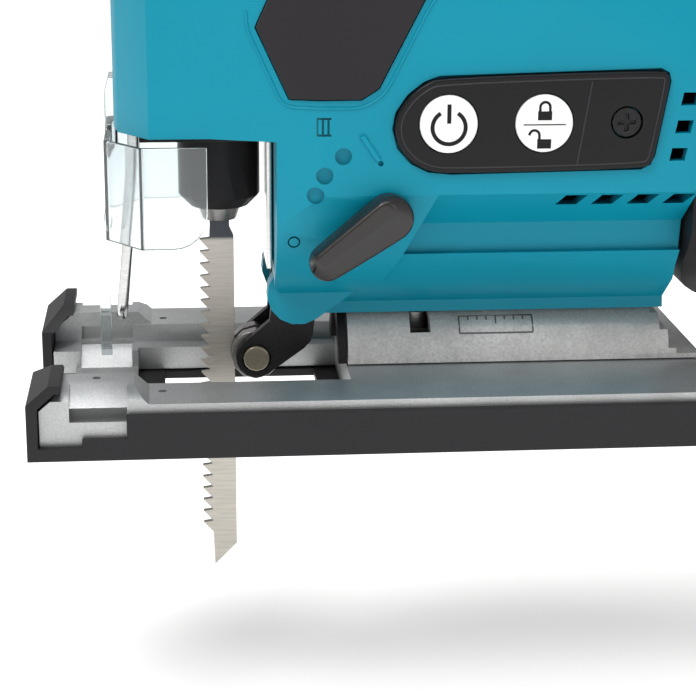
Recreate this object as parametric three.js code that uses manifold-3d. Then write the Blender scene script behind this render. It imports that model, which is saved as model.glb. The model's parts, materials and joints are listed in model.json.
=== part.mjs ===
// Cordless barrel-grip jigsaw, in millimetres. -X is the cutting direction, +Z is up, the sole lies on Z = 0
// and the origin is the middle of the sole. The saw stands on a tilting shoe; a horizontal motor turns a
// reduction gear whose crank pin lifts the plunger, and a guide roller backs the blade.
import * as THREE from 'three';
import { mergeVertices } from 'three/addons/utils/BufferGeometryUtils.js';
import Module from 'manifold-3d';

const wasm = await Module();
wasm.setup();

// ---- driving dimensions -------------------------------------------------------------------------------
const GAP = 0.3; // clearance between any two pieces
const WELD = 0.01; // bite between parts of one piece
const BIG = 400; // longer than the saw, for cutters

// shoe
const shoeLength = 147;
const shoeWidth = 77;
const shoeTop = 11.1; // top of the metal plate
const shoeRoof = 3; // metal above the hollow underside
const shoeRim = 4;
const coverFloor = 1.8; // resin plate under the shoe
const coverWall = 1.7;
const skirtTop = 9.3; // resin strip along the shoe's sides
const skirtFront = -53.5;
const plateauTop = 13.9; // raised front ends of the two rails
const plateauInner = 23.6; // half the distance between the raised ends
const plateauLength = 19;
const throatFront = -52; // opening between the rails
const throatRear = -7;
const throatHalf = 22.5;
const ledgeTop = 7.2; // step inside the rails
const ledgeHalf = 17;
const bridgeTop = 3.6;
const bridgeLength = 14;
const toeTop = 15.9; // resin toe caps
const toeFaceTop = 11.8;
const toeDepth = 7;
const toeInner = 14.85; // half the distance between the toe caps
const toeWall = 2.2;
const slotFront = -46; // blade opening in the resin plate
const slotRear = -12;
const slotHalf = 16;
const guideSlot = [-65, -53.4]; // slot across both rails for the bar of a parallel guide
const guideSlotFloor = 7.6;
const guideSlotRoof = 10.6;
const dimpleRadius = 0.9;

// bevel saddle, a part cylinder along X on the shoe
const tiltZ = shoeTop; // height of the bevel axis
const saddleRadius = 13;
const saddleWall = 3;
const saddleRear = 56;
const flareLength = 9;
const tiltLimit = 45; // degrees each way
const saddleRingLength = 1.8;
const boltX = 9; // bevel lock bolt
const boltRadius = 1.9;

// housing
const wall = 2.5;
const noseFront = -55.3;
const noseHalf = 24;
const noseBottom = 62.5;
const noseRear = -36; // the nose widens behind this
const bodyRear = 62;
const bodyHalf = 31;
const bodyBottom = 22.1;
const sideBottom = 52; // where the side face starts to lean inwards
const leanHalf = 25.2; // half width at the foot of the leaning face
const leanBottom = 37.5;
const bandHalf = 18.4;
const bandBottom = 30.6;
const lipHalf = 9.8;
const lipTop = 24.6;
const shoulderZ = 118;
const shelfFront = 0.5; // scooped flank behind the lever
const shelfTopFront = 9.6;
const shelfHalf = 21;
const shelfStep = 44;
const shelfLip = 22.6; // half width at the scoop's lower edge
const barrelRadius = 31.5;
const barrelFront = 20;
const barrelRear = 181;
const barrelTaper = 9;
const footFront = 56;
const footRear = 179;
const footHalf = 36;
const footBottom = 52.5;
const rearCoverRadius = 12; // lower corner of the cover behind the lower body
const splitLine = GAP / 2; // half the gap between the two housing shells
const screwSeat = 17.5; // where the heads of the housing screws sit
const screwRadius = 1.35;
const screwHead = 2.6;
const panelScrewRadius = 1.2;

// grips
const padDepth = 1.4;
const padProud = 0.6;
const gripFront = 14;
const gripRear = 140;
const gripHalf = 17;

// drive line
const strokeX = -33.6; // plunger axis
const stroke = 26;
const gearTeeth = 36;
const pinionTeeth = 8;
const toothModule = 1;
const toothPlay = 0.25;
const gearZ = 102.5;
const gearFront = -23.5;
const gearWidth = 8;
const gearShaftRadius = 4;
const crankPinRadius = 3;
const crankPinLength = 3;
const rodRadius = 5;
const rodTop = 138;
const rodFoot = 48;
const yokeHalf = 5; // half height of the yoke
const yokeDepth = 4;
const bushWall = 1.2;
const armHalf = 9; // half width of the gear case arms
const lowArm = [74, 82.5];
const highArm = [122, 131.5];
const pinionTunnel = 5.3; // radius of the room for the pinion in the upper arm
const caseFront = -5;
const casePlate = 5;
const shaftRadius = 2.5;
const bearingRadius = 8;
const statorRadius = 24;
const statorLength = 34;
const statorFront = 12;
const rotorRadius = 12;
const fanFront = 50;
const fanWidth = 8;
const fanRadius = 22;
const fanBlades = 9;

// blade, clamp and guide
const bladeThickness = 1.3;
const bladeBack = -30.6;
const bladeWidth = 7.4;
const bladeShoulder = 37.6;
const bladeTip = -39;
const toothPitch = 2.72;
const toothDepth = 2.2;
const shankWidth = 4.2;
const shankTop = 52;
const sleeveRadius = 8.7;
const bodyFront = strokeX + sleeveRadius + 2.2; // the nose clears the clamp sleeve
const sleeveBottom = 44.2;
const sleeveTop = 60;
const collarRadius = 4.6;
const collarBottom = 41;
const mouthRoom = 1.6; // space around the sleeve
const rollerX = -26.1;
const rollerZ = 11.3;
const rollerRadius = 5.5;
const rollerHalf = 4;
const rollerPinRadius = 2.9;
const armThickness = 2.2;
const armEndRadius = 4.4;
const armKneeX = -18.6; // widest part of the guide arm
const armKneeZ = 17.2;
const armKneeRadius = 4.8;
const swingX = -17.5; // pivot of the guide arm, between the two chin lobes
const swingZ = 27.5;
const swingRadius = 2.5;
const chinHalf = 9.2; // half width of the opening for the guide arm
const lobeRadius = 6.6;
const lobeHalf = 14.5;
const frontPlateHalf = 16; // steel plate behind the clamp
const frontPlateLow = 33.5;
const frontPlateThick = 1.2;

// chip cover and finger guard
const coverHalf = 25.8;
const coverThick = 1.2;
const coverBottom = 40.2;
const coverTop = 61;
const coverRear = -36.5;
const coverRound = 7; // radius of the wings' lower rear corners
const coverFrontX = -57.3;
const coverLift = 25;
const prongHalf = 4;
const prongFoot = 11.8;
const tongueTop = 72;
const guardRadius = 1.2;
const guardHalf = 6;

// controls
const panelProud = 1.2;
const panelDepth = 1.6;
const buttonRadius = 5.75;
const buttonProud = 1.8;
const buttonStem = 4.25; // radius of the hole behind the button
const powerX = 11.1;
const lockX = 30.2;
const buttonZ = 66.5;
const panelScrewX = 46.9;
const leverX = -0.5;
const leverZ = 48;
const leverTipX = -12.9;
const leverTipZ = 39;
const leverBig = 4.9;
const leverSmall = 3.7;
const leverHeight = 5.6;
const leverHub = 2.6;
const dialRadius = 11;
const dialHalf = 4;
const dialX = 158;
const dialProud = 1.8;

// battery
const packHalf = 37;
const packBottom = 25;
const packTop = 52;
const packSplit = 48;
const packLength = 113;
const packWall = 3;
const packRound = 10; // radius of the lower corners
const railHalf = 27;
const railTop = 76;
const railClear = 0.5;
const cellRadius = 9.1;
const cellLength = 65;
const cellCount = 5;

const motorZ = gearZ + (toothModule * (gearTeeth + pinionTeeth)) / 2;
const halfShoe = shoeLength / 2;
const halfWide = shoeWidth / 2;
const crankRadius = stroke / 2;
const packFront = halfShoe + 2; // clear of the shoe at full tilt
const swingPinHalf = chinHalf + 2.5;

// ---- solid tools --------------------------------------------------------------------------------------
function solid(geometry) {
  const bare = geometry.index ? geometry.toNonIndexed() : geometry.clone();
  bare.deleteAttribute('normal');
  bare.deleteAttribute('uv');
  const welded = mergeVertices(bare, 1e-4);
  return new wasm.Manifold(new wasm.Mesh({
    numProp: 3,
    vertProperties: new Float32Array(welded.attributes.position.array),
    triVerts: new Uint32Array(welded.index.array),
  }));
}

const join = (...parts) => parts.reduce((sum, part) => sum.add(part));
const cut = (body, ...tools) => tools.reduce((rest, tool) => rest.subtract(tool), body);
const common = (...parts) => parts.reduce((rest, part) => rest.intersect(part));
const bothSides = (part) => join(part, part.mirror([0, 1, 0]));

// The span from a to b, taken outwards on the side given by sign.
const span = (sign, a, b) => (sign < 0 ? [-b, -a] : [a, b]);

// A box from its lowest to its highest corner.
function block(x0, x1, y0, y1, z0, z1) {
  const geometry = new THREE.BoxGeometry(x1 - x0, y1 - y0, z1 - z0);
  return solid(geometry.translate((x0 + x1) / 2, (y0 + y1) / 2, (z0 + z1) / 2));
}

const shapeOf = (points) => new THREE.Shape(points.map(([a, b]) => new THREE.Vector2(a, b)));
const prism = (shape, depth) => new THREE.ExtrudeGeometry(shape, {
  depth, bevelEnabled: false, curveSegments: 5,
});

// Extrusions of an outline: (y, z) along X, (x, z) along Y and (x, y) along Z.
function alongX(shape, x0, x1) {
  const turn = new THREE.Matrix4().set(0, 0, 1, x0, 1, 0, 0, 0, 0, 1, 0, 0, 0, 0, 0, 1);
  return solid(prism(shape, x1 - x0).applyMatrix4(turn));
}

function alongY(shape, y0, y1) {
  const turn = new THREE.Matrix4().set(1, 0, 0, 0, 0, 0, -1, y1, 0, 1, 0, 0, 0, 0, 0, 1);
  return solid(prism(shape, y1 - y0).applyMatrix4(turn));
}

function alongZ(shape, z0, z1) {
  return solid(prism(shape, z1 - z0).translate(0, 0, z0));
}

const sidesFor = (radius) => Math.min(36, Math.max(8, 4 * Math.round(radius / 4 + 2)));

// Round bars along each axis, from `start` to `end` radius.
function barX(radius, x0, x1, y, z, end = radius) {
  const bar = new THREE.CylinderGeometry(end, radius, x1 - x0, sidesFor(radius));
  return solid(bar.rotateZ(-Math.PI / 2).translate((x0 + x1) / 2, y, z));
}

function barY(radius, y0, y1, x, z, end = radius) {
  const bar = new THREE.CylinderGeometry(end, radius, y1 - y0, sidesFor(radius));
  return solid(bar.translate(x, (y0 + y1) / 2, z));
}

function barZ(radius, z0, z1, x, y, end = radius) {
  const bar = new THREE.CylinderGeometry(end, radius, z1 - z0, sidesFor(radius));
  return solid(bar.rotateX(Math.PI / 2).translate(x, y, (z0 + z1) / 2));
}

// Moves each side of a closed anticlockwise outline inwards by d, or outwards where d is negative.
function inset(points, d) {
  const count = points.length;
  return points.map((point, i) => {
    const before = points[(i + count - 1) % count];
    const after = points[(i + 1) % count];
    const a = new THREE.Vector2(point[0] - before[0], point[1] - before[1]).normalize();
    const b = new THREE.Vector2(after[0] - point[0], after[1] - point[1]).normalize();
    const na = new THREE.Vector2(-a.y, a.x);
    const nb = new THREE.Vector2(-b.y, b.x);
    const share = d / (1 + na.dot(nb));
    return [point[0] + (na.x + nb.x) * share, point[1] + (na.y + nb.y) * share];
  });
}

// Mirrors a half outline, given from the bottom up on the +Y side, into a whole one.
const mirrored = (half) => [...half, ...half.slice().reverse().map(([y, z]) => [-y, z])];

// The outline round two circles and the straight sides between them.
function tearDrop(x0, z0, r0, x1, z1, r1) {
  const steps = 8;
  const along = Math.atan2(z1 - z0, x1 - x0);
  const lean = Math.acos((r0 - r1) / Math.hypot(x1 - x0, z1 - z0));
  const points = [];
  for (let i = 0; i <= steps; i += 1) {
    const angle = along + lean + ((2 * Math.PI - 2 * lean) * i) / steps;
    points.push([x0 + r0 * Math.cos(angle), z0 + r0 * Math.sin(angle)]);
  }
  for (let i = 0; i <= steps; i += 1) {
    const angle = along - lean + (2 * lean * i) / steps;
    points.push([x1 + r1 * Math.cos(angle), z1 + r1 * Math.sin(angle)]);
  }
  return shapeOf(points);
}

// ---- nodes --------------------------------------------------------------------------------------------
const saw = new THREE.Group();
const shoeGroup = new THREE.Group();
const toolGroup = new THREE.Group();
const packGroup = new THREE.Group();
saw.add(shoeGroup, toolGroup);
toolGroup.position.set(0, 0, tiltZ);
toolGroup.add(packGroup);

const looks = {
  teal: [0x008ca0, 0.45, 0],
  black: [0x2b2b2d, 0.6, 0],
  rubber: [0x2d2b2e, 0.85, 0],
  casting: [0xb5b7b8, 0.55, 0.9],
  steel: [0xa9aaac, 0.35, 1],
  blackSteel: [0x1c1c1e, 0.4, 0.8],
  blade: [0x8c8882, 0.35, 0.9],
  bronze: [0x9a6b3c, 0.4, 1],
  copper: [0xb5643a, 0.4, 0.9],
  white: [0xf0f0ee, 0.4, 0],
  clear: [0xdfe6ea, 0.1, 0],
  board: [0x1f4d33, 0.6, 0],
};

// Adds a solid given in the saw's frame as a named mesh whose own origin is at `at`.
function node(group, name, body, look, at = [0, 0, 0]) {
  const raw = body.getMesh();
  const geometry = new THREE.BufferGeometry();
  geometry.setAttribute('position', new THREE.BufferAttribute(new Float32Array(raw.vertProperties), 3));
  geometry.setIndex(new THREE.BufferAttribute(new Uint32Array(raw.triVerts), 1));
  geometry.translate(-at[0], -at[1], -at[2]);
  const [color, roughness, metalness] = looks[look];
  const mesh = new THREE.Mesh(geometry, new THREE.MeshStandardMaterial({ color, roughness, metalness }));
  mesh.name = name;
  const base = new THREE.Vector3();
  for (let holder = group; holder; holder = holder.parent) base.add(holder.position);
  mesh.position.set(...at).sub(base);
  group.add(mesh);
}

// ---- shoe ---------------------------------------------------------------------------------------------
const metalFront = -halfShoe + toeWall + GAP;
const metalRear = halfShoe - coverWall - GAP;
const metalHalf = halfWide - coverWall - GAP;
const metalFloor = coverFloor + GAP;
const plateauRear = metalFront + plateauLength;
const boltAccess = barZ(4.5, -5, shoeTop + 1, boltX, 0);

function throat(grow) {
  const half = throatHalf + grow;
  return block(throatFront - grow, throatRear + grow, -half, half, -BIG, BIG);
}

function shoeBase() {
  const plate = block(plateauRear - 1, metalRear, -metalHalf, metalHalf, metalFloor, shoeTop);
  const nose = shapeOf([
    [metalFront, metalFloor], [plateauRear + 4, metalFloor], [plateauRear + 3, shoeTop],
    [plateauRear, plateauTop], [metalFront + 4.5, plateauTop], [metalFront, shoeTop - 1],
  ]);
  const rails = bothSides(alongY(nose, plateauInner, metalHalf));
  const feet = bothSides(block(metalFront, throatFront, toeInner, metalHalf, metalFloor, ledgeTop));
  const bridgeFront = throatFront - bridgeLength;
  const bridge = block(bridgeFront, throatFront, -toeInner - 1, toeInner + 1, metalFloor, bridgeTop);
  const ahead = join(
    block(-BIG, throatFront, -toeInner, toeInner, -1, BIG),
    block(-BIG, throatFront, -throatHalf, throatHalf, ledgeTop, BIG),
  );
  const casting = join(cut(plate, ahead), rails, feet, bridge);
  const opening = join(
    block(throatFront, throatRear, -throatHalf, throatHalf, ledgeTop, BIG),
    block(throatFront, throatRear, -ledgeHalf, ledgeHalf, -1, BIG),
  );
  const rimHalf = metalHalf - shoeRim;
  const under = cut(
    block(throatFront, metalRear - shoeRim, -rimHalf, rimHalf, -1, shoeTop - shoeRoof),
    throat(shoeRim),
  );
  const [slotStart, slotEnd] = guideSlot;
  const guideRoom = block(slotStart, slotEnd, ledgeHalf - 3, metalHalf + 1, guideSlotFloor, guideSlotRoof);
  const outerRamp = alongX(shapeOf([
    [metalHalf - 6.5, plateauTop + WELD], [metalHalf, guideSlotRoof], [metalHalf + 1, guideSlotRoof],
    [metalHalf + 1, plateauTop + WELD],
  ]), slotStart, slotEnd);
  const innerRamp = alongX(shapeOf([
    [toeInner - 1, bridgeTop - 1], [throatHalf, ledgeTop - 0.6], [throatHalf, ledgeTop + 1],
    [toeInner - 1, ledgeTop + 1],
  ]), slotStart, slotEnd);
  const shoulder = alongX(shapeOf([
    [metalHalf - 4, plateauTop + WELD], [metalHalf + 1, plateauTop - 2.3], [metalHalf + 1, plateauTop + 1],
  ]), metalFront - 1, plateauRear + 3);
  const dimples = [[-46.3, 27.8], [-59.7, 26.8]].map(([x, y]) => bothSides(
    barZ(dimpleRadius, shoeTop - 2, plateauTop + 5, x, y),
  ));
  return cut(casting, opening, under, bothSides(join(guideRoom, outerRamp, innerRamp)), bothSides(shoulder),
    boltAccess, ...dimples);
}

function saddle() {
  const front = throatRear + GAP;
  const tube = barX(saddleRadius, front, saddleRear, 0, tiltZ);
  const flare = [];
  const steps = 5;
  for (let i = 0; i < steps; i += 1) {
    const x0 = saddleRear + (flareLength * i) / steps - WELD;
    const x1 = saddleRear + (flareLength * (i + 1)) / steps;
    const radius = saddleRadius * Math.cos((Math.PI / 2) * ((i + 0.4) / steps));
    flare.push(block(x0, x1, -saddleRadius, saddleRadius, tiltZ - 1, tiltZ + radius));
  }
  const horn = common(join(...flare), barX(saddleRadius, saddleRear - 1, saddleRear + flareLength, 0, tiltZ));
  const tongueRear = saddleRear + flareLength + 5;
  const tongue = block(saddleRear, tongueRear, -saddleRadius, saddleRadius, tiltZ - 1, shoeTop + 1.3);
  const bore = barX(saddleRadius - saddleWall, front - 1, saddleRear - 6, 0, tiltZ);
  const reach = THREE.MathUtils.degToRad(tiltLimit) + (boltRadius + 2 * GAP) / (saddleRadius - saddleWall);
  const fan = [[0, tiltZ]];
  for (let i = -6; i <= 6; i += 1) {
    const angle = (reach * i) / 6;
    fan.push([-2 * saddleRadius * Math.sin(angle), tiltZ + 2 * saddleRadius * Math.cos(angle)]);
  }
  const arc = alongX(shapeOf(fan), boltX - boltRadius - GAP, boltX + boltRadius + GAP);
  return cut(join(tube, horn, tongue), bore, arc, block(-BIG, BIG, -BIG, BIG, -BIG, shoeTop + GAP));
}

function shoeCover() {
  const floor = block(-halfShoe, halfShoe, -halfWide, halfWide, 0, coverFloor);
  const strip = (x0, x1, top) => bothSides(
    block(x0, x1, halfWide - coverWall, halfWide, coverFloor - WELD, top),
  );
  const rear = block(halfShoe - coverWall, halfShoe, -halfWide, halfWide, coverFloor - WELD, skirtTop - 3);
  const toe = shapeOf([
    [-halfShoe, WELD], [-halfShoe + toeWall, WELD], [-halfShoe + toeWall, toeFaceTop - 0.8],
    [-halfShoe + toeDepth - 1.2, plateauTop + GAP], [-halfShoe + toeDepth, plateauTop + GAP],
    [-halfShoe + toeDepth, toeTop], [-halfShoe + toeDepth - 2.4, toeTop], [-halfShoe, toeFaceTop],
  ]);
  const corner = alongX(shapeOf([
    [toeInner - 1, toeFaceTop], [toeInner, toeFaceTop], [plateauInner, toeTop + WELD],
    [plateauInner, toeTop + 1], [toeInner - 1, toeTop + 1],
  ]), -BIG, 0);
  const toes = bothSides(cut(alongY(toe, toeInner, halfWide), corner));
  const steps = [[-71.5, -62.4, 2.7], [-62.5, skirtFront + WELD, 4.4], [skirtFront, halfShoe, skirtTop]];
  const strips = steps.map(([x0, x1, top]) => strip(x0, x1, top));
  const slot = block(slotFront, slotRear, -slotHalf, slotHalf, -1, coverFloor + 1);
  const front = block(
    -halfShoe - 1, throatFront - bridgeLength, GAP - toeInner, toeInner - GAP, -1, coverFloor + 1,
  );
  return cut(join(floor, rear, toes, ...strips), slot, front, boltAccess);
}

// Black ring at the front end of the saddle.
function saddleRing() {
  const rear = throatRear;
  const front = rear - saddleRingLength;
  const bore = barX(saddleRadius - saddleWall - 1, front - 1, rear + 1, 0, tiltZ);
  const ring = cut(barX(saddleRadius - 0.4, front, rear, 0, tiltZ), bore);
  return cut(ring, block(-BIG, BIG, -BIG, BIG, -BIG, shoeTop + GAP));
}

function bevelBolt() {
  const headTop = Math.sqrt((saddleRadius - saddleWall - GAP) ** 2 - 3.4 ** 2);
  const head = barZ(3.4, tiltZ + headTop - 4, tiltZ + headTop, boltX, 0);
  return cut(
    join(head, barZ(boltRadius, tiltZ + headTop - 1, 36, boltX, 0)),
    barZ(1.5, 0, tiltZ + headTop - 2, boltX, 0),
  );
}

// ---- housing ------------------------------------------------------------------------------------------
// The outside of the housing with every face moved inwards by d.
function housingForm(d) {
  const section = mirrored([
    [lipHalf, bodyBottom], [lipHalf, lipTop], [bandHalf, bandBottom], [leanHalf, leanBottom],
    [bodyHalf, sideBottom], [bodyHalf, shoulderZ], [25, 144], [10, 155.5],
  ]);
  const top = motorZ + barrelRadius;
  const side = [
    [noseFront, noseBottom], [bodyFront, noseBottom], [bodyFront, 30], [-18, bodyBottom],
    [bodyRear, bodyBottom], [bodyRear - 0.5, 34], [bodyRear + 0.5, sideBottom], [bodyRear + 5, 62],
    [bodyRear + 5, top], [-22, top], [-42, top - 2.4], [-52, 134], [noseFront, 114],
  ];
  const plan = [
    [-48, -noseHalf], [noseRear, -noseHalf], [-14, -bodyHalf], [bodyRear + 5, -bodyHalf],
    [bodyRear + 5, bodyHalf], [-14, bodyHalf], [noseRear, noseHalf], [-48, noseHalf],
    [noseFront + 1, 15], [noseFront, 8], [noseFront, -8], [noseFront + 1, -15],
  ];
  const head = common(
    alongY(shapeOf(inset(side, d)), -40, 40),
    alongX(shapeOf(inset(section, d)), -60, 90),
    alongZ(shapeOf(inset(plan, d)), 0, 170),
  );
  const taperFront = barrelRear - barrelTaper - d;
  const barrel = join(
    barX(barrelRadius - d, barrelFront, taperFront + WELD, 0, motorZ),
    barX(barrelRadius - d, taperFront, barrelRear - d, 0, motorZ, barrelRadius - d - 7),
  );
  const footSection = [
    [-footHalf, footBottom], [footHalf, footBottom], [footHalf, 78], [26, 106], [-26, 106], [-footHalf, 78],
  ];
  const footPlan = [
    [footFront, -28], [footFront + 14, -footHalf], [footRear, -footHalf], [footRear, footHalf],
    [footFront + 14, footHalf], [footFront, 28],
  ];
  const foot = common(
    alongX(shapeOf(inset(footSection, d)), 0, BIG),
    alongZ(shapeOf(inset(footPlan, d)), 0, 170),
  );
  return join(head, barrel, foot);
}

// The scooped flanks behind the lever, grown by d.
function flanks(d) {
  const floor = leanBottom + 0.4;
  const outline = [[shelfFront - 1, bandBottom], [footFront + 30, bandBottom], [footFront + 30, sideBottom],
    [shelfTopFront, sideBottom]];
  const section = [[shelfHalf, floor], [shelfLip, floor], [bandHalf, bandBottom], [60, bandBottom],
    [60, sideBottom], [bodyHalf, sideBottom], [shelfHalf, shelfStep]];
  return bothSides(common(
    alongY(shapeOf(inset(outline, -d)), 0, 50),
    alongX(shapeOf(inset(section, -d)), -20, BIG),
  ));
}

const padOutline = [
  [-20.2, 71.3], [-6.1, 71.4], [-2.8, 73.5], [6, 90.7], [14, 101], [60, 106], [gripRear + 2, 106],
  [gripRear + 8, 112], [gripRear + 8, 120], [gripRear + 2, 126], [20, 126], [-4, 118], [-20, 100],
  [-26.6, 85],
];
const panelOutline = [
  [12, 56.4], [50.4, 57], [52.2, 57.9], [53, 59.6], [55.5, 74.6], [55.1, 76], [53.6, 76.8], [9.4, 75.6],
  [6.4, 74.5], [3.2, 72], [0.9, 68.6], [0.3, 65.4], [1.3, 61.6], [4, 58.6], [7.4, 56.9],
];
const gripOutline = [
  [gripFront + 6, -gripHalf], [gripRear - 6, -gripHalf], [gripRear, 6 - gripHalf], [gripRear, gripHalf - 6],
  [gripRear - 6, gripHalf], [gripFront + 6, gripHalf], [gripFront, gripHalf - 6], [gripFront, 6 - gripHalf],
];
const buttons = { power: powerX, lock: lockX };
const screwSpots = [[-48, 72], [-17, 66], [48, 44], [20, 94], [66, 98], [140, 96], [-47.5, 112]];

const outerForm = housingForm(0);
const proudForm = housingForm(-padProud);
const pocketForm = housingForm(padDepth + GAP);
const padBack = housingForm(padDepth);

const lobes = bothSides(alongY(
  tearDrop(swingX, swingZ, lobeRadius, swingX + 10, swingZ + 6, lobeRadius - 1), chinHalf, lobeHalf,
));
const shell = join(cut(outerForm, flanks(0)), lobes);
const roofHalf = railHalf + railClear + wall;
const channelRoof = block(packFront - wall - GAP, BIG, -roofHalf, roofHalf, 0, railTop + railClear + wall);
const hollow = cut(housingForm(wall), flanks(wall), channelRoof, lobes);

// The battery's way in from the rear.
function channel() {
  const rail = railHalf + railClear;
  return join(
    block(packFront - GAP, BIG, -rail, rail, packTop, railTop + railClear),
    block(packFront - GAP, BIG, -BIG, BIG, 0, footBottom + WELD),
  );
}

function vents() {
  const lean = 1.6;
  const cuts = [];
  for (let i = 0; i < 4; i += 1) {
    const x = 34 + i * 7.4;
    cuts.push([[x, 48.9], [x + 4.4, 48.9], [x + 4.4 + lean, 51.5], [x + lean, 51.5]]);
  }
  for (let i = 0; i < 3; i += 1) {
    const x = 56.2 + i * 0.9;
    const z = 58.4 + i * 5.6;
    cuts.push([[x, z], [x + 3.2, z], [x + 3.7, z + 2.6], [x + 0.5, z + 2.6]]);
  }
  for (let i = 0; i < 5; i += 1) {
    const x = barrelRear - 27 + i * 3.6;
    cuts.push([[x, 108], [x + 1.6, 108], [x + 1.6, 132], [x, 132]]);
  }
  return bothSides(join(...cuts.map((points) => alongY(shapeOf(points), 18, 50))));
}

function housingOpenings() {
  const dialRoom = dialRadius + 1;
  const dial = block(dialX - dialRoom, dialX + dialRoom, -dialHalf - GAP, dialHalf + GAP, motorZ, BIG);
  const mouth = barZ(sleeveRadius + mouthRoom, noseBottom - 1, sleeveTop + crankRadius + 1, strokeX, 0);
  const chin = block(bodyFront - 1, throatRear + 1, -chinHalf, chinHalf, bodyBottom - 2, 44);
  const tongue = block(noseFront - 1, noseFront + 1.4, -prongHalf - 1, prongHalf + 1, noseBottom - 1,
    tongueTop + coverLift + 2);
  const lamp = barZ(2.8, noseBottom - 1, noseBottom + 8, -46, 15);
  const bolt = barZ(boltRadius + GAP, 0, 40, boltX, 0);
  const pinBore = barY(swingRadius + GAP, -swingPinHalf - GAP, swingPinHalf + GAP, swingX, swingZ);
  const saddleRoom = barX(saddleRadius + GAP, -BIG, BIG, 0, tiltZ);
  return [dial, mouth, chin, tongue, lamp, bolt, pinBore, saddleRoom, channel(), vents()];
}

const openingsInShell = housingOpenings();
const caseRear = caseFront + casePlate;
const armRoom = armHalf + GAP;
const bearingRoom = common(
  join(
    block(caseFront - 40, caseRear + GAP, -armRoom, armRoom, lowArm[0] - GAP, highArm[1] + GAP),
    block(caseFront - GAP, caseRear + GAP, -40, 40, 68, 160),
  ),
  housingForm(wall - WELD),
);

function housingHalf(sign) {
  const half = block(-BIG, BIG, ...span(sign, splitLine, 60), -BIG, BIG);
  const posts = screwSpots.map(([x, z]) => barY(3.6, ...span(sign, splitLine, 40), x, z));
  const bosses = common(cut(outerForm, flanks(0)), join(...posts));
  const outwards = span(sign, 14, 60);
  const padPocket = cut(alongY(shapeOf(inset(padOutline, -GAP)), ...outwards), pocketForm);
  const panelPocket = alongY(
    shapeOf(inset(panelOutline, -GAP)), ...span(sign, bodyHalf - panelDepth - GAP, 60),
  );
  const gripPocket = cut(alongZ(shapeOf(inset(gripOutline, -GAP)), motorZ, BIG), pocketForm);
  const stems = Object.values(buttons).map((x) => barY(buttonStem, ...span(sign, 20, 40), x, buttonZ));
  const panelScrew = barY(panelScrewRadius + GAP, ...span(sign, 20, 40), panelScrewX, buttonZ);
  const thread = screwRadius + GAP;
  const screws = screwSpots.flatMap(([x, z]) => (sign < 0
    ? [barY(thread, -16, 1, x, z)]
    : [barY(thread, -1, 40, x, z), barY(screwHead + 0.4, screwSeat, 40, x, z)]));
  const lever = sign < 0 ? [barY(leverHub + GAP, -40, -10, leverX, leverZ)] : [];
  return cut(join(common(cut(shell, hollow), half), bosses), bearingRoom, padPocket, panelPocket,
    gripPocket, panelScrew, ...stems, ...screws, ...lever, ...openingsInShell);
}

// ---- grips, panels and screws -------------------------------------------------------------------------
const sidePad = (sign) => cut(
  common(proudForm, alongY(shapeOf(padOutline), ...span(sign, 14, 60))),
  padBack,
);
const topGrip = () => cut(common(proudForm, alongZ(shapeOf(gripOutline), motorZ + 8, BIG)), padBack);

function controlPanel(sign) {
  const plate = alongY(shapeOf(panelOutline), ...span(sign, bodyHalf - panelDepth, bodyHalf + panelProud));
  const through = span(sign, 20, 40);
  const holes = Object.values(buttons).map((x) => barY(buttonRadius + GAP, ...through, x, buttonZ));
  const screw = barY(panelScrewRadius + GAP, ...through, panelScrewX, buttonZ);
  const sink = barY(3.3, ...span(sign, bodyHalf - 0.4, 40), panelScrewX, buttonZ);
  return cut(plate, screw, sink, ...holes);
}

function button(sign, x) {
  const face = bodyHalf + buttonProud;
  return join(
    barY(buttonRadius, ...span(sign, bodyHalf - 0.9, face), x, buttonZ),
    barY(buttonStem - GAP, ...span(sign, bodyHalf - 5, bodyHalf), x, buttonZ),
  );
}

function panelScrewSolid(sign) {
  const seat = bodyHalf - 0.4 + GAP;
  const head = barY(3, ...span(sign, seat, seat + 1.1), panelScrewX, buttonZ);
  const stem = barY(panelScrewRadius, ...span(sign, 22, seat + WELD), panelScrewX, buttonZ);
  const drive = (dx, dz) => block(
    panelScrewX - dx, panelScrewX + dx, ...span(sign, seat + 0.5, 40), buttonZ - dz, buttonZ + dz,
  );
  return cut(join(head, stem), drive(1.8, 0.4), drive(0.4, 1.8));
}

function housingScrew(x, z) {
  const seat = screwSeat + GAP;
  const socket = barY(1.2, seat + 1, seat + 5, x, z);
  const shank = barY(screwRadius, -14, seat + WELD, x, z);
  return cut(join(shank, barY(screwHead, seat, seat + 2.2, x, z)), socket);
}

// ---- drive line ---------------------------------------------------------------------------------------
// A spur wheel's outline in (y, z) about its own centre.
function wheelOutline(teeth, phase, backlash) {
  const pitch = (toothModule * teeth) / 2;
  const tip = pitch + 0.75 * toothModule;
  const root = pitch - 1.1 * toothModule;
  const quarter = Math.PI / (2 * teeth) - backlash / (2 * pitch);
  const points = [];
  for (let i = 0; i < teeth; i += 1) {
    const middle = phase + (2 * Math.PI * i) / teeth;
    const outer = quarter * 0.45;
    const inner = quarter * 1.5;
    for (const [radius, offset] of [[root, -inner], [tip, -outer], [tip, outer], [root, inner]]) {
      points.push([radius * Math.cos(middle + offset), radius * Math.sin(middle + offset)]);
    }
  }
  return points;
}

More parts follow.
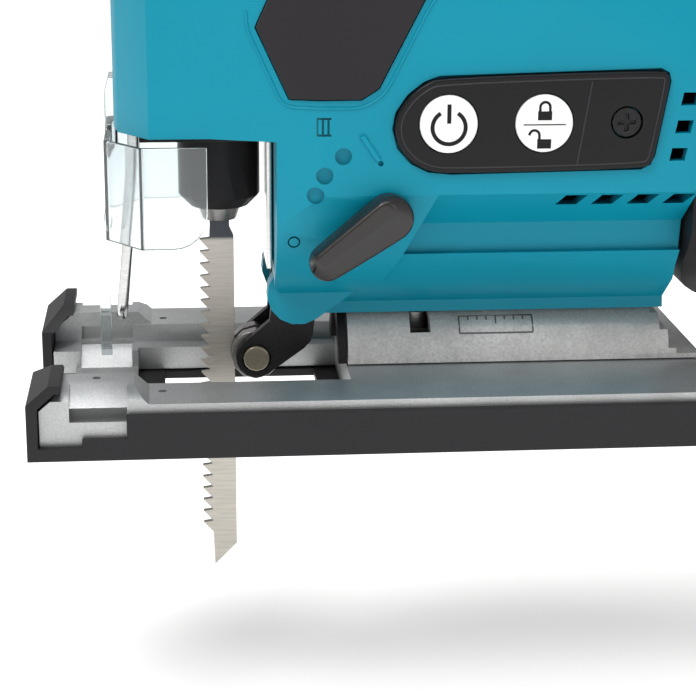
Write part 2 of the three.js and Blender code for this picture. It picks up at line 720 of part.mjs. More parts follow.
function driveGear() {
  const up = Math.PI / 2;
  const outline = wheelOutline(gearTeeth, up, toothPlay).map(([y, z]) => [y, z + gearZ]);
  const wheel = alongX(shapeOf(outline), gearFront, gearFront + gearWidth);
  const hub = barX(7, gearFront, gearFront + gearWidth + 4, 0, gearZ);
  const crank = barX(crankPinRadius, gearFront - crankPinLength, gearFront + 1, crankRadius, gearZ);
  const bore = barX(gearShaftRadius + GAP, gearFront + 2, gearFront + 30, 0, gearZ);
  const relief = [];
  const ring = 11.5;
  for (let i = 1; i < 6; i += 1) {
    const angle = (Math.PI * i) / 3;
    const [y, z] = [ring * Math.cos(angle), gearZ + ring * Math.sin(angle)];
    relief.push(barX(3, gearFront - 1, gearFront + 20, y, z));
  }
  return cut(join(wheel, hub, crank), bore, ...relief);
}

function rotorShaft() {
  const down = -Math.PI / 2 + Math.PI / pinionTeeth;
  const outline = wheelOutline(pinionTeeth, down, toothPlay).map(([y, z]) => [y, z + motorZ]);
  const pinion = alongX(shapeOf(outline), gearFront, gearFront + gearWidth);
  return join(pinion, barX(shaftRadius, gearFront, fanFront + fanWidth + 9, 0, motorZ));
}

const ringX = (outer, inner, x0, x1, z) => cut(barX(outer, x0, x1, 0, z), barX(inner, x0 - 1, x1 + 1, 0, z));

function stator() {
  const rear = statorFront + statorLength;
  const slots = [];
  const ring = 15.5;
  for (let i = 0; i < 6; i += 1) {
    const angle = (Math.PI * i) / 3;
    const [y, z] = [ring * Math.cos(angle), motorZ + ring * Math.sin(angle)];
    slots.push(barX(3.6, statorFront - 1, rear + 1, y, z));
  }
  return cut(ringX(statorRadius, rotorRadius + 0.6, statorFront, rear, motorZ), ...slots);
}

function rotorCore() {
  return ringX(rotorRadius, shaftRadius + GAP, statorFront + 1, statorFront + statorLength - 1, motorZ);
}

function coolingFan() {
  const disc = join(
    barX(fanRadius, fanFront, fanFront + 1.4, 0, motorZ),
    barX(6, fanFront, fanFront + fanWidth, 0, motorZ),
  );
  const blades = [];
  for (let i = 0; i < fanBlades; i += 1) {
    const blade = block(fanFront + 1, fanFront + fanWidth, -0.7, 0.7, 5, fanRadius - 0.5);
    blades.push(blade.rotate([(360 * i) / fanBlades, 0, 0]).translate([0, 0, motorZ]));
  }
  const bore = barX(shaftRadius + GAP, fanFront - 1, fanFront + fanWidth + 1, 0, motorZ);
  return cut(join(disc, ...blades), bore);
}

function gearCase() {
  const plate = block(caseFront, caseFront + casePlate, -26, 26, 70, 152);
  const arm = ([z0, z1]) => block(strokeX - 8.5, caseFront + WELD, -armHalf, armHalf, z0, z1);
  const bush = barZ(rodRadius + GAP + bushWall + GAP, 60, 160, strokeX, 0);
  const shaftBore = barX(gearShaftRadius + GAP, caseFront - 1, caseFront + casePlate + 1, 0, gearZ);
  const bearing = barX(bearingRadius + GAP, caseFront - 1, caseFront + casePlate + 1, 0, motorZ);
  const form = housingForm(wall + GAP);
  const pinionRoom = barX(pinionTunnel, gearFront - 1, caseFront + 1, 0, motorZ);
  const lights = bothSides(block(caseFront - 1, caseFront + casePlate + 1, 12, 20, 84, 98));
  const casting = common(form, join(plate, arm(lowArm), arm(highArm)));
  return cut(casting, bush, shaftBore, bearing, pinionRoom, lights);
}

function guideBush([z0, z1]) {
  const inner = rodRadius + GAP;
  return cut(barZ(inner + bushWall, z0 + GAP, z1 - GAP, strokeX, 0), barZ(inner, z0 - 1, z1 + 1, strokeX, 0));
}

const gearShaft = () => barX(gearShaftRadius, gearFront + 2 + GAP, caseFront + casePlate - GAP, 0, gearZ);

// ---- plunger, clamp and blade -------------------------------------------------------------------------
const shankSlot = (grow, z0, z1) => {
  const half = shankWidth / 2 + grow;
  const thick = bladeThickness / 2 + grow;
  return block(strokeX - half, strokeX + half, -thick, thick, z0, z1);
};

function plungerRod() {
  const rod = barZ(rodRadius, rodFoot, rodTop, strokeX, 0);
  const yokeRear = gearFront - crankPinLength - GAP;
  const slotReach = crankRadius + crankPinRadius + GAP;
  const yoke = block(yokeRear - yokeDepth, yokeRear, -slotReach - 1.6, slotReach + 1.6,
    gearZ - yokeHalf, gearZ + yokeHalf);
  const slot = block(yokeRear - yokeDepth + 2.4, yokeRear + 1, -slotReach, slotReach,
    gearZ - crankPinRadius - GAP, gearZ + crankPinRadius + GAP);
  return cut(join(rod, yoke), slot, shankSlot(GAP, rodFoot - 1, shankTop + GAP));
}

function clampSleeve() {
  const chamfer = 2.4;
  const body = join(
    barZ(sleeveRadius - chamfer, sleeveBottom, sleeveBottom + chamfer + WELD, strokeX, 0, sleeveRadius),
    barZ(sleeveRadius, sleeveBottom + chamfer, sleeveTop, strokeX, 0),
  );
  const bore = barZ(rodRadius + GAP, rodFoot - GAP, sleeveTop + 1, strokeX, 0);
  return cut(body, bore, barZ(3.4, sleeveBottom - 1, rodFoot, strokeX, 0));
}

function clampCollar() {
  const ring = join(
    barZ(collarRadius - 1, collarBottom, collarBottom + 2.9, strokeX, 0, collarRadius),
    barZ(3.1, collarBottom + 2, rodFoot - 2 * GAP, strokeX, 0),
  );
  return cut(ring, shankSlot(GAP, collarBottom - 1, rodFoot + 1));
}

function blade() {
  const teethX = bladeBack - bladeWidth;
  const root = teethX + toothDepth;
  const points = [
    [strokeX - shankWidth / 2, shankTop], [strokeX - shankWidth / 2, bladeShoulder + 1.6],
    [root, bladeShoulder],
  ];
  const count = Math.floor((bladeShoulder - bladeTip - 6) / toothPitch);
  for (let i = 0; i < count; i += 1) {
    const z = bladeShoulder - 0.8 - i * toothPitch;
    points.push([root, z], [teethX, z - toothPitch * 0.1]);
  }
  const low = bladeShoulder - 0.8 - count * toothPitch;
  points.push([root, low], [bladeBack - 4.9, bladeTip], [bladeBack, bladeTip + 5]);
  points.push([bladeBack, bladeShoulder - 0.4]);
  points.push([strokeX + shankWidth / 2, bladeShoulder + 1.6], [strokeX + shankWidth / 2, shankTop]);
  return alongY(shapeOf(points), -bladeThickness / 2, bladeThickness / 2);
}

// ---- blade guide --------------------------------------------------------------------------------------
function guideArm() {
  const inner = rollerHalf + 0.4;
  const link = (x0, z0, r0, x1, z1, r1, y0, y1) => alongY(tearDrop(x0, z0, r0, x1, z1, r1), y0, y1);
  const cheek = join(
    link(rollerX, rollerZ, armEndRadius, armKneeX, armKneeZ, armKneeRadius, inner, inner + armThickness),
    link(armKneeX, armKneeZ, armKneeRadius, swingX, swingZ, swingRadius + 2.4, inner, inner + armThickness),
  );
  const webShape = tearDrop(armKneeX + 2.2, armKneeZ + 2.6, 2.2, swingX, swingZ, swingRadius + 2.2);
  const web = alongY(webShape, -inner - WELD, inner + WELD);
  const pins = join(
    barY(rollerPinRadius + GAP, -20, 20, rollerX, rollerZ),
    barY(swingRadius + GAP, -20, 20, swingX, swingZ),
  );
  return cut(join(bothSides(cheek), web), pins);
}

function guideRoller() {
  const flank = barY(rollerRadius, -rollerHalf, rollerHalf, rollerX, rollerZ);
  const grooveHalf = bladeThickness / 2 + GAP;
  const grooveRadius = Math.abs(rollerX - bladeBack) - GAP;
  const groove = cut(
    barY(rollerRadius + 2, -grooveHalf, grooveHalf, rollerX, rollerZ),
    barY(grooveRadius, -grooveHalf - 1, grooveHalf + 1, rollerX, rollerZ),
  );
  return cut(flank, groove, barY(rollerPinRadius + GAP, -20, 20, rollerX, rollerZ));
}

const rollerPinHalf = rollerHalf + 0.4 + armThickness + 0.7;
const rollerPin = () => barY(rollerPinRadius, -rollerPinHalf, rollerPinHalf, rollerX, rollerZ);

const swingPin = () => barY(swingRadius, -swingPinHalf, swingPinHalf, swingX, swingZ);

// ---- chip cover, finger guard and nose plate ----------------------------------------------------------
function chipCover() {
  const outer = [
    [coverRear, -coverHalf], [coverRear, coverHalf], [-50, coverHalf], [coverFrontX, 16],
    [coverFrontX, -16], [-50, -coverHalf],
  ];
  const outside = alongZ(shapeOf(outer), coverBottom, coverTop);
  const room = coverHalf - coverThick;
  const inside = common(
    alongZ(shapeOf(inset(outer, coverThick)), coverBottom - 1, coverTop + 1),
    block(-BIG, coverRear + 1, -room, room, 0, BIG),
  );
  const open = block(coverRear - coverThick - 1, coverRear + 1, -room, room, 0, BIG);
  const corner = [[coverRear + 1, coverBottom - 1], [coverRear - coverRound, coverBottom - 1]];
  const steps = 6;
  for (let i = 0; i <= steps; i += 1) {
    const angle = -Math.PI / 2 + (Math.PI / 2) * (i / steps);
    corner.push([
      coverRear - coverRound + coverRound * Math.cos(angle),
      coverBottom + coverRound + coverRound * Math.sin(angle),
    ]);
  }
  corner.push([coverRear + 1, coverBottom + coverRound]);
  const rounding = alongY(shapeOf(corner), -BIG, BIG);
  const front = coverFrontX + coverThick;
  const prong = shapeOf([
    [coverFrontX, coverBottom + 8], [coverFrontX - 2.2, 30], [coverFrontX - 2.2, prongFoot],
    [coverFrontX + 0.2, prongFoot], [coverFrontX + 0.2, coverBottom - 6], [front, coverBottom + 0.5],
    [front, coverBottom + 8],
  ]);
  const tongue = shapeOf([
    [front, coverTop - 6], [front, tongueTop], [front + 1.4, tongueTop], [front + 1.4, coverTop - 3],
  ]);
  const hook = shapeOf([
    [coverFrontX, coverTop - 4], [coverFrontX, tongueTop - 3], [coverFrontX + 0.8, tongueTop],
    [front + 1, tongueTop], [front + 1, coverTop - 4],
  ]);
  return join(
    cut(outside, inside, open, rounding),
    alongY(prong, -prongHalf, prongHalf),
    alongY(tongue, -prongHalf, prongHalf),
    alongY(hook, -prongHalf - 0.6, prongHalf + 0.6),
  );
}

function fingerGuard() {
  const leg = [[-51.4, guardHalf, noseBottom - GAP], [-51.6, guardHalf, 52], [-54.6, guardHalf, 23],
    [-54.8, guardHalf - 2, 21]];
  const points = [...leg.map(([x, y, z]) => [x, -y, z]), ...leg.reverse()];
  const bends = points.map((point) => new THREE.Vector3(...point));
  const route = new THREE.CatmullRomCurve3(bends, false, 'catmullrom', 0.1);
  const circle = new THREE.Shape().absarc(0, 0, guardRadius, 0, 2 * Math.PI);
  return solid(new THREE.ExtrudeGeometry(circle, { steps: 26, extrudePath: route, curveSegments: 4 }));
}

// Closes the lower body behind; it keeps the body's section, so it clears the tilted shoe too.
function rearCover() {
  const front = bodyRear + 0.5 + GAP;
  const rear = packFront - 2 * GAP;
  const points = [[rear, packTop], [front, packTop]];
  const steps = 6;
  for (let i = 0; i <= steps; i += 1) {
    const angle = Math.PI + (Math.PI / 2) * (i / steps);
    points.push([front + rearCoverRadius * (1 + Math.cos(angle)), bodyBottom + 1.5
      + rearCoverRadius * (1 + Math.sin(angle))]);
  }
  points.push([rear, bodyBottom + 1.5]);
  const section = mirrored([
    [lipHalf, bodyBottom], [lipHalf, lipTop], [bandHalf, bandBottom], [leanHalf, leanBottom],
    [leanHalf + 3, leanBottom + 5], [leanHalf + 3, packTop + 1],
  ]);
  return common(alongY(shapeOf(points), -40, 40), alongX(shapeOf(inset(section, 1)), 0, 100));
}

function nosePlate() {
  const outline = [[-50, -19], [-25, -19], [-25, 19], [-50, 19]];
  const plate = alongZ(shapeOf(outline), noseBottom - GAP - 1.2, noseBottom - GAP);
  const legs = bothSides(barZ(guardRadius + GAP, 50, 70, -51.5, guardHalf));
  return cut(plate, barZ(sleeveRadius + mouthRoom, 50, 70, strokeX, 0), barZ(2.8, 50, 70, -46, 15), legs);
}

function frontPlate() {
  const rear = bodyFront - GAP;
  return block(rear - frontPlateThick, rear, -frontPlateHalf, frontPlateHalf, frontPlateLow, noseBottom - 2);
}

// ---- controls -----------------------------------------------------------------------------------------
function orbitLever() {
  const inner = bodyHalf + GAP;
  const grip = alongY(
    tearDrop(leverX, leverZ, leverBig, leverTipX, leverTipZ, leverSmall), -inner - leverHeight, -inner,
  );
  return join(grip, barY(leverHub, -inner - 1, -bodyHalf + 9, leverX, leverZ));
}

const dialZ = motorZ + barrelRadius - dialRadius + dialProud;

function speedDial() {
  const points = [];
  const count = 48;
  for (let i = 0; i < count; i += 1) {
    const angle = (2 * Math.PI * i) / count;
    const radius = i % 2 ? dialRadius : dialRadius - 0.6;
    points.push([dialX + radius * Math.cos(angle), dialZ + radius * Math.sin(angle)]);
  }
  return cut(alongY(shapeOf(points), -dialHalf, dialHalf), barY(2, -5, 5, dialX, dialZ));
}

// ---- electrics ----------------------------------------------------------------------------------------
function controllerBoard() {
  return join(
    block(74, 130, -17, 17, 108, 110),
    block(78, 98, -12, 12, 110 - WELD, 120),
    block(104, 112, -10, -2, 110 - WELD, 122),
    block(116, 126, 0, 12, 110 - WELD, 116),
  );
}

function terminalBlock() {
  const base = railTop + railClear + wall + GAP;
  return join(block(72, 94, -14, 14, base, base + 6), block(76, 90, -10, -8, base, base + 12),
    block(76, 90, 8, 10, base, base + 12));
}

// ---- battery ------------------------------------------------------------------------------------------
const packRear = packFront + packLength;

function packOutline(d) {
  const points = [[packFront + d, packTop + 5], [packFront + d, packBottom + packRound + 1]];
  const corner = (x, from) => {
    const steps = 4;
    for (let i = 0; i <= steps; i += 1) {
      const angle = from + (Math.PI / 2) * (i / steps);
      points.push([
        x + (packRound - d) * Math.cos(angle),
        packBottom + packRound + (packRound - d) * Math.sin(angle),
      ]);
    }
  };
  corner(packFront + packRound, Math.PI);
  corner(packRear - packRound, 1.5 * Math.PI);
  points.push([packRear - d, packTop + 5]);
  return shapeOf(points);
}

function batteryTub() {
  const tub = common(alongY(packOutline(0), -packHalf, packHalf), block(0, BIG, -50, 50, 0, packSplit));
  const room = alongY(packOutline(packWall), packWall - packHalf, packHalf - packWall);
  return cut(tub, room);
}

function batteryCells() {
  const cells = [];
  const room = packLength - 2 * packWall - 1;
  const pitch = room / cellCount;
  for (let i = 0; i < cellCount; i += 1) {
    const x = packFront + packWall + 0.5 + pitch * (i + 0.5);
    cells.push(barY(cellRadius, -cellLength / 2, cellLength / 2, x, packBottom + packWall + cellRadius + 1));
  }
  const half = (pitch * (cellCount - 1)) / 2;
  const middle = packFront + packWall + 0.5 + room / 2;
  const cellZ = packBottom + packWall + cellRadius + 1;
  const strips = bothSides(
    block(middle - half, middle + half, cellLength / 2 - WELD, cellLength / 2 + 0.4, cellZ - 4, cellZ + 4),
  );
  return join(...cells, strips);
}

function batteryLid() {
  const lid = common(alongY(packOutline(0), -packHalf, packHalf),
    block(0, BIG, -50, 50, packSplit + GAP, packTop));
  const rails = block(packFront + 2, footRear - 2, -railHalf, railHalf, packTop - WELD, railTop);
  const grooves = bothSides(block(packFront, footRear, railHalf - 3, railHalf + 1, packTop + 4, packTop + 9));
  const contacts = bothSides(block(packFront, packFront + 22, 8, 10, railTop - 8, railTop + 1));
  const pocket = block(footRear + 0.4, packRear - 1.4, -12 - GAP, 12 + GAP, packTop - 3.6, packTop + 1);
  return cut(join(lid, rails), grooves, contacts, pocket);
}

const keyFront = footRear + 0.4 + GAP;
const releaseKey = () => block(keyFront, packRear - 1.4 - GAP, -12, 12, packTop - GAP, packTop + 9);

// ---- assembly -----------------------------------------------------------------------------------------
node(shoeGroup, 'shoe_base', shoeBase(), 'casting');
node(shoeGroup, 'bevel_saddle', saddle(), 'casting');
node(shoeGroup, 'saddle_ring', saddleRing(), 'black');
node(shoeGroup, 'shoe_cover_plate', shoeCover(), 'black');

for (const [side, sign] of [['left', -1], ['right', 1]]) {
  node(toolGroup, `housing_${side}`, housingHalf(sign), 'teal');
  node(toolGroup, `side_grip_${side}`, sidePad(sign), 'rubber');
  node(toolGroup, `control_panel_${side}`, controlPanel(sign), 'black');
  node(toolGroup, `panel_screw_${side}`, panelScrewSolid(sign), 'blackSteel',
    [panelScrewX, sign * bodyHalf, buttonZ]);
  for (const [name, x] of Object.entries(buttons)) {
    node(toolGroup, `${name}_button_${side}`, button(sign, x), 'white', [x, sign * bodyHalf, buttonZ]);
  }
}
node(toolGroup, 'barrel_grip', topGrip(), 'rubber');
screwSpots.forEach(([x, z], i) => {
  node(toolGroup, `housing_screw_${i + 1}`, housingScrew(x, z), 'blackSteel', [x, screwSeat, z]);
});
node(toolGroup, 'bevel_bolt', bevelBolt(), 'steel', [boltX, 0, tiltZ]);

node(toolGroup, 'gear_case', gearCase(), 'casting');
node(toolGroup, 'gear_shaft', gearShaft(), 'steel', [caseFront, 0, gearZ]);
node(toolGroup, 'lower_guide_bush', guideBush(lowArm), 'bronze', [strokeX, 0, lowArm[0]]);
node(toolGroup, 'upper_guide_bush', guideBush(highArm), 'bronze', [strokeX, 0, highArm[0]]);
const bearingInner = shaftRadius + GAP;
const frontBearing = ringX(bearingRadius, bearingInner, caseFront + GAP, caseFront + casePlate - GAP, motorZ);
node(toolGroup, 'front_bearing', frontBearing, 'steel', [caseFront, 0, motorZ]);
const bearingX = fanFront + fanWidth + 2;
node(toolGroup, 'rear_bearing', ringX(bearingRadius, bearingInner, bearingX, bearingX + 5, motorZ), 'steel',
  [bearingX, 0, motorZ]);
node(toolGroup, 'motor_stator', stator(), 'copper', [statorFront, 0, motorZ]);
node(toolGroup, 'motor_rotor', rotorCore(), 'steel', [statorFront, 0, motorZ]);
node(toolGroup, 'pinion_shaft', rotorShaft(), 'steel', [gearFront, 0, motorZ]);
node(toolGroup, 'cooling_fan', coolingFan(), 'black', [fanFront, 0, motorZ]);
node(toolGroup, 'drive_gear', driveGear(), 'steel', [gearFront, 0, gearZ]);

node(toolGroup, 'plunger_rod', plungerRod(), 'steel', [strokeX, 0, gearZ]);
node(toolGroup, 'clamp_sleeve', clampSleeve(), 'black', [strokeX, 0, sleeveBottom]);
node(toolGroup, 'clamp_collar', clampCollar(), 'steel', [strokeX, 0, collarBottom]);
node(toolGroup, 'saw_blade', blade(), 'blade', [strokeX, 0, bladeShoulder]);
node(toolGroup, 'guide_arm', guideArm(), 'blackSteel', [swingX, 0, swingZ]);
node(toolGroup, 'swing_pin', swingPin(), 'steel', [swingX, 0, swingZ]);
node(toolGroup, 'roller_pin', rollerPin(), 'steel', [rollerX, 0, rollerZ]);
node(toolGroup, 'guide_roller', guideRoller(), 'steel', [rollerX, 0, rollerZ]);

node(toolGroup, 'chip_cover', chipCover(), 'clear', [coverFrontX, 0, coverBottom]);
node(toolGroup, 'finger_guard', fingerGuard(), 'steel');
node(toolGroup, 'nose_plate', nosePlate(), 'black');
node(toolGroup, 'front_plate', frontPlate(), 'steel');
node(toolGroup, 'rear_cover', rearCover(), 'black');
const lens = barZ(2.5, noseBottom - 0.8, noseBottom + 6, -46, 15);
node(toolGroup, 'lamp_lens', lens, 'clear', [-46, 15, noseBottom]);
node(toolGroup, 'orbit_lever', orbitLever(), 'black', [leverX, -bodyHalf, leverZ]);
node(toolGroup, 'speed_dial', speedDial(), 'black', [dialX, 0, dialZ]);
node(toolGroup, 'controller_board', controllerBoard(), 'board');
node(toolGroup, 'terminal_block', terminalBlock(), 'black');

node(packGroup, 'battery_tub', batteryTub(), 'black');
node(packGroup, 'battery_lid', batteryLid(), 'black');
node(packGroup, 'battery_cells', batteryCells(), 'steel');
node(packGroup, 'battery_release', releaseKey(), 'black', [packRear, 0, packTop]);

export default saw;
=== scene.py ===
"""Cordless barrel-grip jigsaw: the looks of every piece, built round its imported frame.

Lengths are in millimetres where a name ends in _mm or a field says so, and in metres elsewhere. -X is the
cutting direction, +Z is up, -Y is the saw's left side.
"""
import json
import logging
import math
from dataclasses import dataclass
from enum import Enum
from typing import Any, Callable, Iterable, Sequence

import bmesh
import bpy
from mathutils import Euler, Matrix, Vector
from mathutils.bvhtree import BVHTree


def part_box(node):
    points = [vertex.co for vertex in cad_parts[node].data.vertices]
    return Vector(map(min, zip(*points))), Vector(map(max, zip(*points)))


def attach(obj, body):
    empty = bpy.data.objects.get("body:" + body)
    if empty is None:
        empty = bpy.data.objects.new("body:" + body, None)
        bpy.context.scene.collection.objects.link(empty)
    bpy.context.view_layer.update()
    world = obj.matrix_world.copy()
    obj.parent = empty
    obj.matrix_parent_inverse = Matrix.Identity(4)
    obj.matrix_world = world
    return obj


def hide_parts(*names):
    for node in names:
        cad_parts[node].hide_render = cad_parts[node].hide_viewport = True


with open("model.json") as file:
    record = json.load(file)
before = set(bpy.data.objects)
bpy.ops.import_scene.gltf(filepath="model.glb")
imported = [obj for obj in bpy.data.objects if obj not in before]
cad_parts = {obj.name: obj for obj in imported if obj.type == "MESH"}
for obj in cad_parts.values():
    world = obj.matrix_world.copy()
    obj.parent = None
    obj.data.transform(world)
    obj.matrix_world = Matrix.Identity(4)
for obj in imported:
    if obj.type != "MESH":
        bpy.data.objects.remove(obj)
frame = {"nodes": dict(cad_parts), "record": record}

LOG = logging.getLogger("jigsaw")
MM = 0.001
Point = tuple[float, float]


class Side(Enum):
    """The two sides of the saw, as the sign of Y."""

    LEFT = -1
    RIGHT = 1


# ---- colour, nodes and meshes ------------------------------------------------------------------------------
def linear(code: str) -> tuple[float, float, float, float]:
    """Converts an sRGB hex colour to linear light.

    Args:
        code: Six hex digits, as "008CA0".

    Returns:
        Red, green, blue and an alpha of one.
    """
    parts = [int(code[i:i + 2], 16) / 255 for i in (0, 2, 4)]
    light = [c / 12.92 if c <= 0.04045 else ((c + 0.055) / 1.055) ** 2.4 for c in parts]
    return (light[0], light[1], light[2], 1.0)


def add_node(
    tree: bpy.types.NodeTree,
    kind: str,
    settings: dict[str | int, Any] | None = None,
    links: dict[str | int, bpy.types.NodeSocket] | None = None,
) -> bpy.types.Node:
    """Adds one node with its settings and incoming links.

    Args:
        tree: The node tree to extend.
        kind: The node's type name.
        settings: Values by socket name, socket number or property name.
        links: Source sockets by socket name or number.

    Returns:
        The new node.
    """
    made = tree.nodes.new(kind)
    for key, value in (settings or {}).items():
        if isinstance(key, int) or key in made.inputs:
            made.inputs[key].default_value = value
        else:
            setattr(made, key, value)
    for key, source in (links or {}).items():
        tree.links.new(source, made.inputs[key])
    return made


def new_material(name: str) -> tuple[bpy.types.Material, bpy.types.NodeTree, bpy.types.Node]:
    """Makes a material that holds only an output and a principled shader.

    Args:
        name: The material's name.

    Returns:
        The material, its tree and the shader node.
    """
    material = bpy.data.materials.new(name)
    material.use_nodes = True
    tree = material.node_tree
    tree.nodes.clear()
    shader = add_node(tree, "ShaderNodeBsdfPrincipled")
    add_node(tree, "ShaderNodeOutputMaterial", links={"Surface": shader.outputs["BSDF"]})
    return material, tree, shader


def surfaced(
    tree: bpy.types.NodeTree, shader: bpy.types.Node, gloss: bpy.types.Node, bump: bpy.types.Node
) -> None:
    """Links a finish's gloss and bump to its shader.

    Args:
        tree: The material's tree.
        shader: The shader node.
        gloss: The node that gives the roughness.
        bump: The node that gives the normal.
    """
    tree.links.new(gloss.outputs["Result"], shader.inputs["Roughness"])
    tree.links.new(bump.outputs["Normal"], shader.inputs["Normal"])


def scaled_place(tree: bpy.types.NodeTree, stretch: Sequence[float]) -> bpy.types.NodeSocket:
    """Gives the piece's own coordinates in pattern sizes.

    Args:
        tree: The material's tree.
        stretch: Patterns per metre along each axis.

    Returns:
        The vector socket.
    """
    place = add_node(tree, "ShaderNodeTexCoord")
    mapping = add_node(
        tree, "ShaderNodeMapping", {"Scale": tuple(stretch)}, {"Vector": place.outputs["Object"]}
    )
    return mapping.outputs["Vector"]


@dataclass(frozen=True)
class Moulded:
    """Injection-moulded resin with a spark-eroded grain.

    Attributes:
        name: Material and process.
        colour: Main colour.
        shade: Colour of the slightly darker flow patches.
        roughness: Mean surface roughness.
        grain_mm: Size of one grain.
        depth_mm: Depth of the grain.
        sheen: Strength of the soft reflection at grazing angles.
        mirror: Strength of the clear reflection.
    """

    name: str
    colour: str
    shade: str
    roughness: float
    grain_mm: float = 0.5
    depth_mm: float = 0.03
    sheen: float = 0.0
    mirror: float = 0.22

    def make(self) -> bpy.types.Material:
        """Builds the material: fine grain breaks the highlight, broad patches keep large faces from flatness.

        Returns:
            The material.
        """
        material, tree, shader = new_material(self.name)
        fine = 1 / (self.grain_mm * MM)
        place = scaled_place(tree, (1, 1, 1))
        grain = add_node(
            tree, "ShaderNodeTexNoise", {"Scale": fine, "Detail": 3.0, "Roughness": 0.6}, {"Vector": place}
        )
        patches = add_node(
            tree, "ShaderNodeTexNoise", {"Scale": 1 / (26 * MM), "Detail": 2.0}, {"Vector": place}
        )
        colours = add_node(
            tree, "ShaderNodeMix", {"data_type": "RGBA", 6: linear(self.shade), 7: linear(self.colour)},
            {0: patches.outputs["Fac"]},
        )
        gloss = add_node(
            tree, "ShaderNodeMapRange",
            {"To Min": self.roughness - 0.06, "To Max": self.roughness + 0.08},
            {"Value": grain.outputs["Fac"]},
        )
        bump = add_node(
            tree, "ShaderNodeBump", {"Strength": 0.55, "Distance": self.depth_mm * MM},
            {"Height": grain.outputs["Fac"]},
        )
        shader.inputs["Sheen Weight"].default_value = self.sheen
        shader.inputs["Specular IOR Level"].default_value = self.mirror
        tree.links.new(colours.outputs[2], shader.inputs["Base Color"])
        surfaced(tree, shader, gloss, bump)
        return material


@dataclass(frozen=True)
class Metal:
    """Bare or coated metal with a directional or granular surface.

    Attributes:
        name: Material and process.
        colour: Colour of the raised metal.
        shade: Colour in the low spots.
        roughness: Mean roughness.
        metallic: How metallic the surface is.
        grain_mm: Grain size along X, Y and Z; unequal sizes give grinding marks.
        depth_mm: Depth of the grain.
        spread: How far the roughness strays on either side.
    """

    name: str
    colour: str
    shade: str
    roughness: float
    metallic: float
    grain_mm: tuple[float, float, float]
    depth_mm: float
    spread: float = 0.08

    def make(self) -> bpy.types.Material:
        """Builds the material: the grain gives cast skin its sparkle and ground steel its streaks.

        Returns:
            The material.
        """
        material, tree, shader = new_material(self.name)
        place = scaled_place(tree, [1 / (size * MM) for size in self.grain_mm])
        grain = add_node(
            tree, "ShaderNodeTexNoise", {"Scale": 1.0, "Detail": 4.0, "Roughness": 0.62}, {"Vector": place}
        )
        wide = scaled_place(tree, (1, 1, 1))
        patches = add_node(
            tree, "ShaderNodeTexNoise", {"Scale": 1 / (14 * MM), "Detail": 3.0}, {"Vector": wide}
        )
        mixed = add_node(
            tree, "ShaderNodeMath", {"operation": "MULTIPLY"},
            {0: grain.outputs["Fac"], 1: patches.outputs["Fac"]},
        )
        ramp = add_node(
            tree, "ShaderNodeMapRange", {"From Min": 0.12, "From Max": 0.38},
            {"Value": mixed.outputs["Value"]},
        )
        colours = add_node(
            tree, "ShaderNodeMix", {"data_type": "RGBA", 6: linear(self.shade), 7: linear(self.colour)},
            {0: ramp.outputs["Result"]},
        )
        gloss = add_node(
            tree, "ShaderNodeMapRange",
            {"To Min": self.roughness + self.spread, "To Max": self.roughness - self.spread},
            {"Value": grain.outputs["Fac"]},
        )
        bump = add_node(
            tree, "ShaderNodeBump", {"Strength": 0.6, "Distance": self.depth_mm * MM},
            {"Height": grain.outputs["Fac"]},
        )
        shader.inputs["Metallic"].default_value = self.metallic
        tree.links.new(colours.outputs[2], shader.inputs["Base Color"])
        surfaced(tree, shader, gloss, bump)
        return material


@dataclass(frozen=True)
class CoatedBlade:
    """Ground blade steel with a dark coat on its upper end.

    Attributes:
        name: Material and process.
        steel: Colour of the ground steel.
        coat: Colour of the coat.
        edge_z: Height in metres at which the coat ends.
    """

    name: str
    steel: str
    coat: str
    edge_z: float

    def make(self) -> bpy.types.Material:
        """Builds the material: cross-ground streaks below, a duller dark coat with a soft edge above.

        Returns:
            The material.
        """
        material, tree, shader = new_material(self.name)
        place = add_node(tree, "ShaderNodeTexCoord")
        parts = add_node(tree, "ShaderNodeSeparateXYZ", links={"Vector": place.outputs["Object"]})
        above = add_node(
            tree, "ShaderNodeMapRange",
            {"From Min": self.edge_z - 0.4 * MM, "From Max": self.edge_z + 0.4 * MM},
            {"Value": parts.outputs["Z"]},
        )
        streaks = add_node(
            tree, "ShaderNodeTexNoise", {"Scale": 1.0, "Detail": 4.0},
            {"Vector": scaled_place(tree, (160, 2000, 3200))},
        )
        steel = add_node(
            tree, "ShaderNodeMix", {"data_type": "RGBA", 6: linear("9A958D"), 7: linear(self.steel)},
            {0: streaks.outputs["Fac"]},
        )
        colours = add_node(
            tree, "ShaderNodeMix", {"data_type": "RGBA", 7: linear(self.coat)},
            {0: above.outputs["Result"], 6: steel.outputs[2]},
        )
        gloss = add_node(
            tree, "ShaderNodeMapRange", {"To Min": 0.3, "To Max": 0.52}, {"Value": streaks.outputs["Fac"]}
        )
        bump = add_node(
            tree, "ShaderNodeBump", {"Strength": 0.35, "Distance": 0.01 * MM},
            {"Height": streaks.outputs["Fac"]},
        )
        shader.inputs["Metallic"].default_value = 0.85
        tree.links.new(colours.outputs[2], shader.inputs["Base Color"])
        surfaced(tree, shader, gloss, bump)
        return material


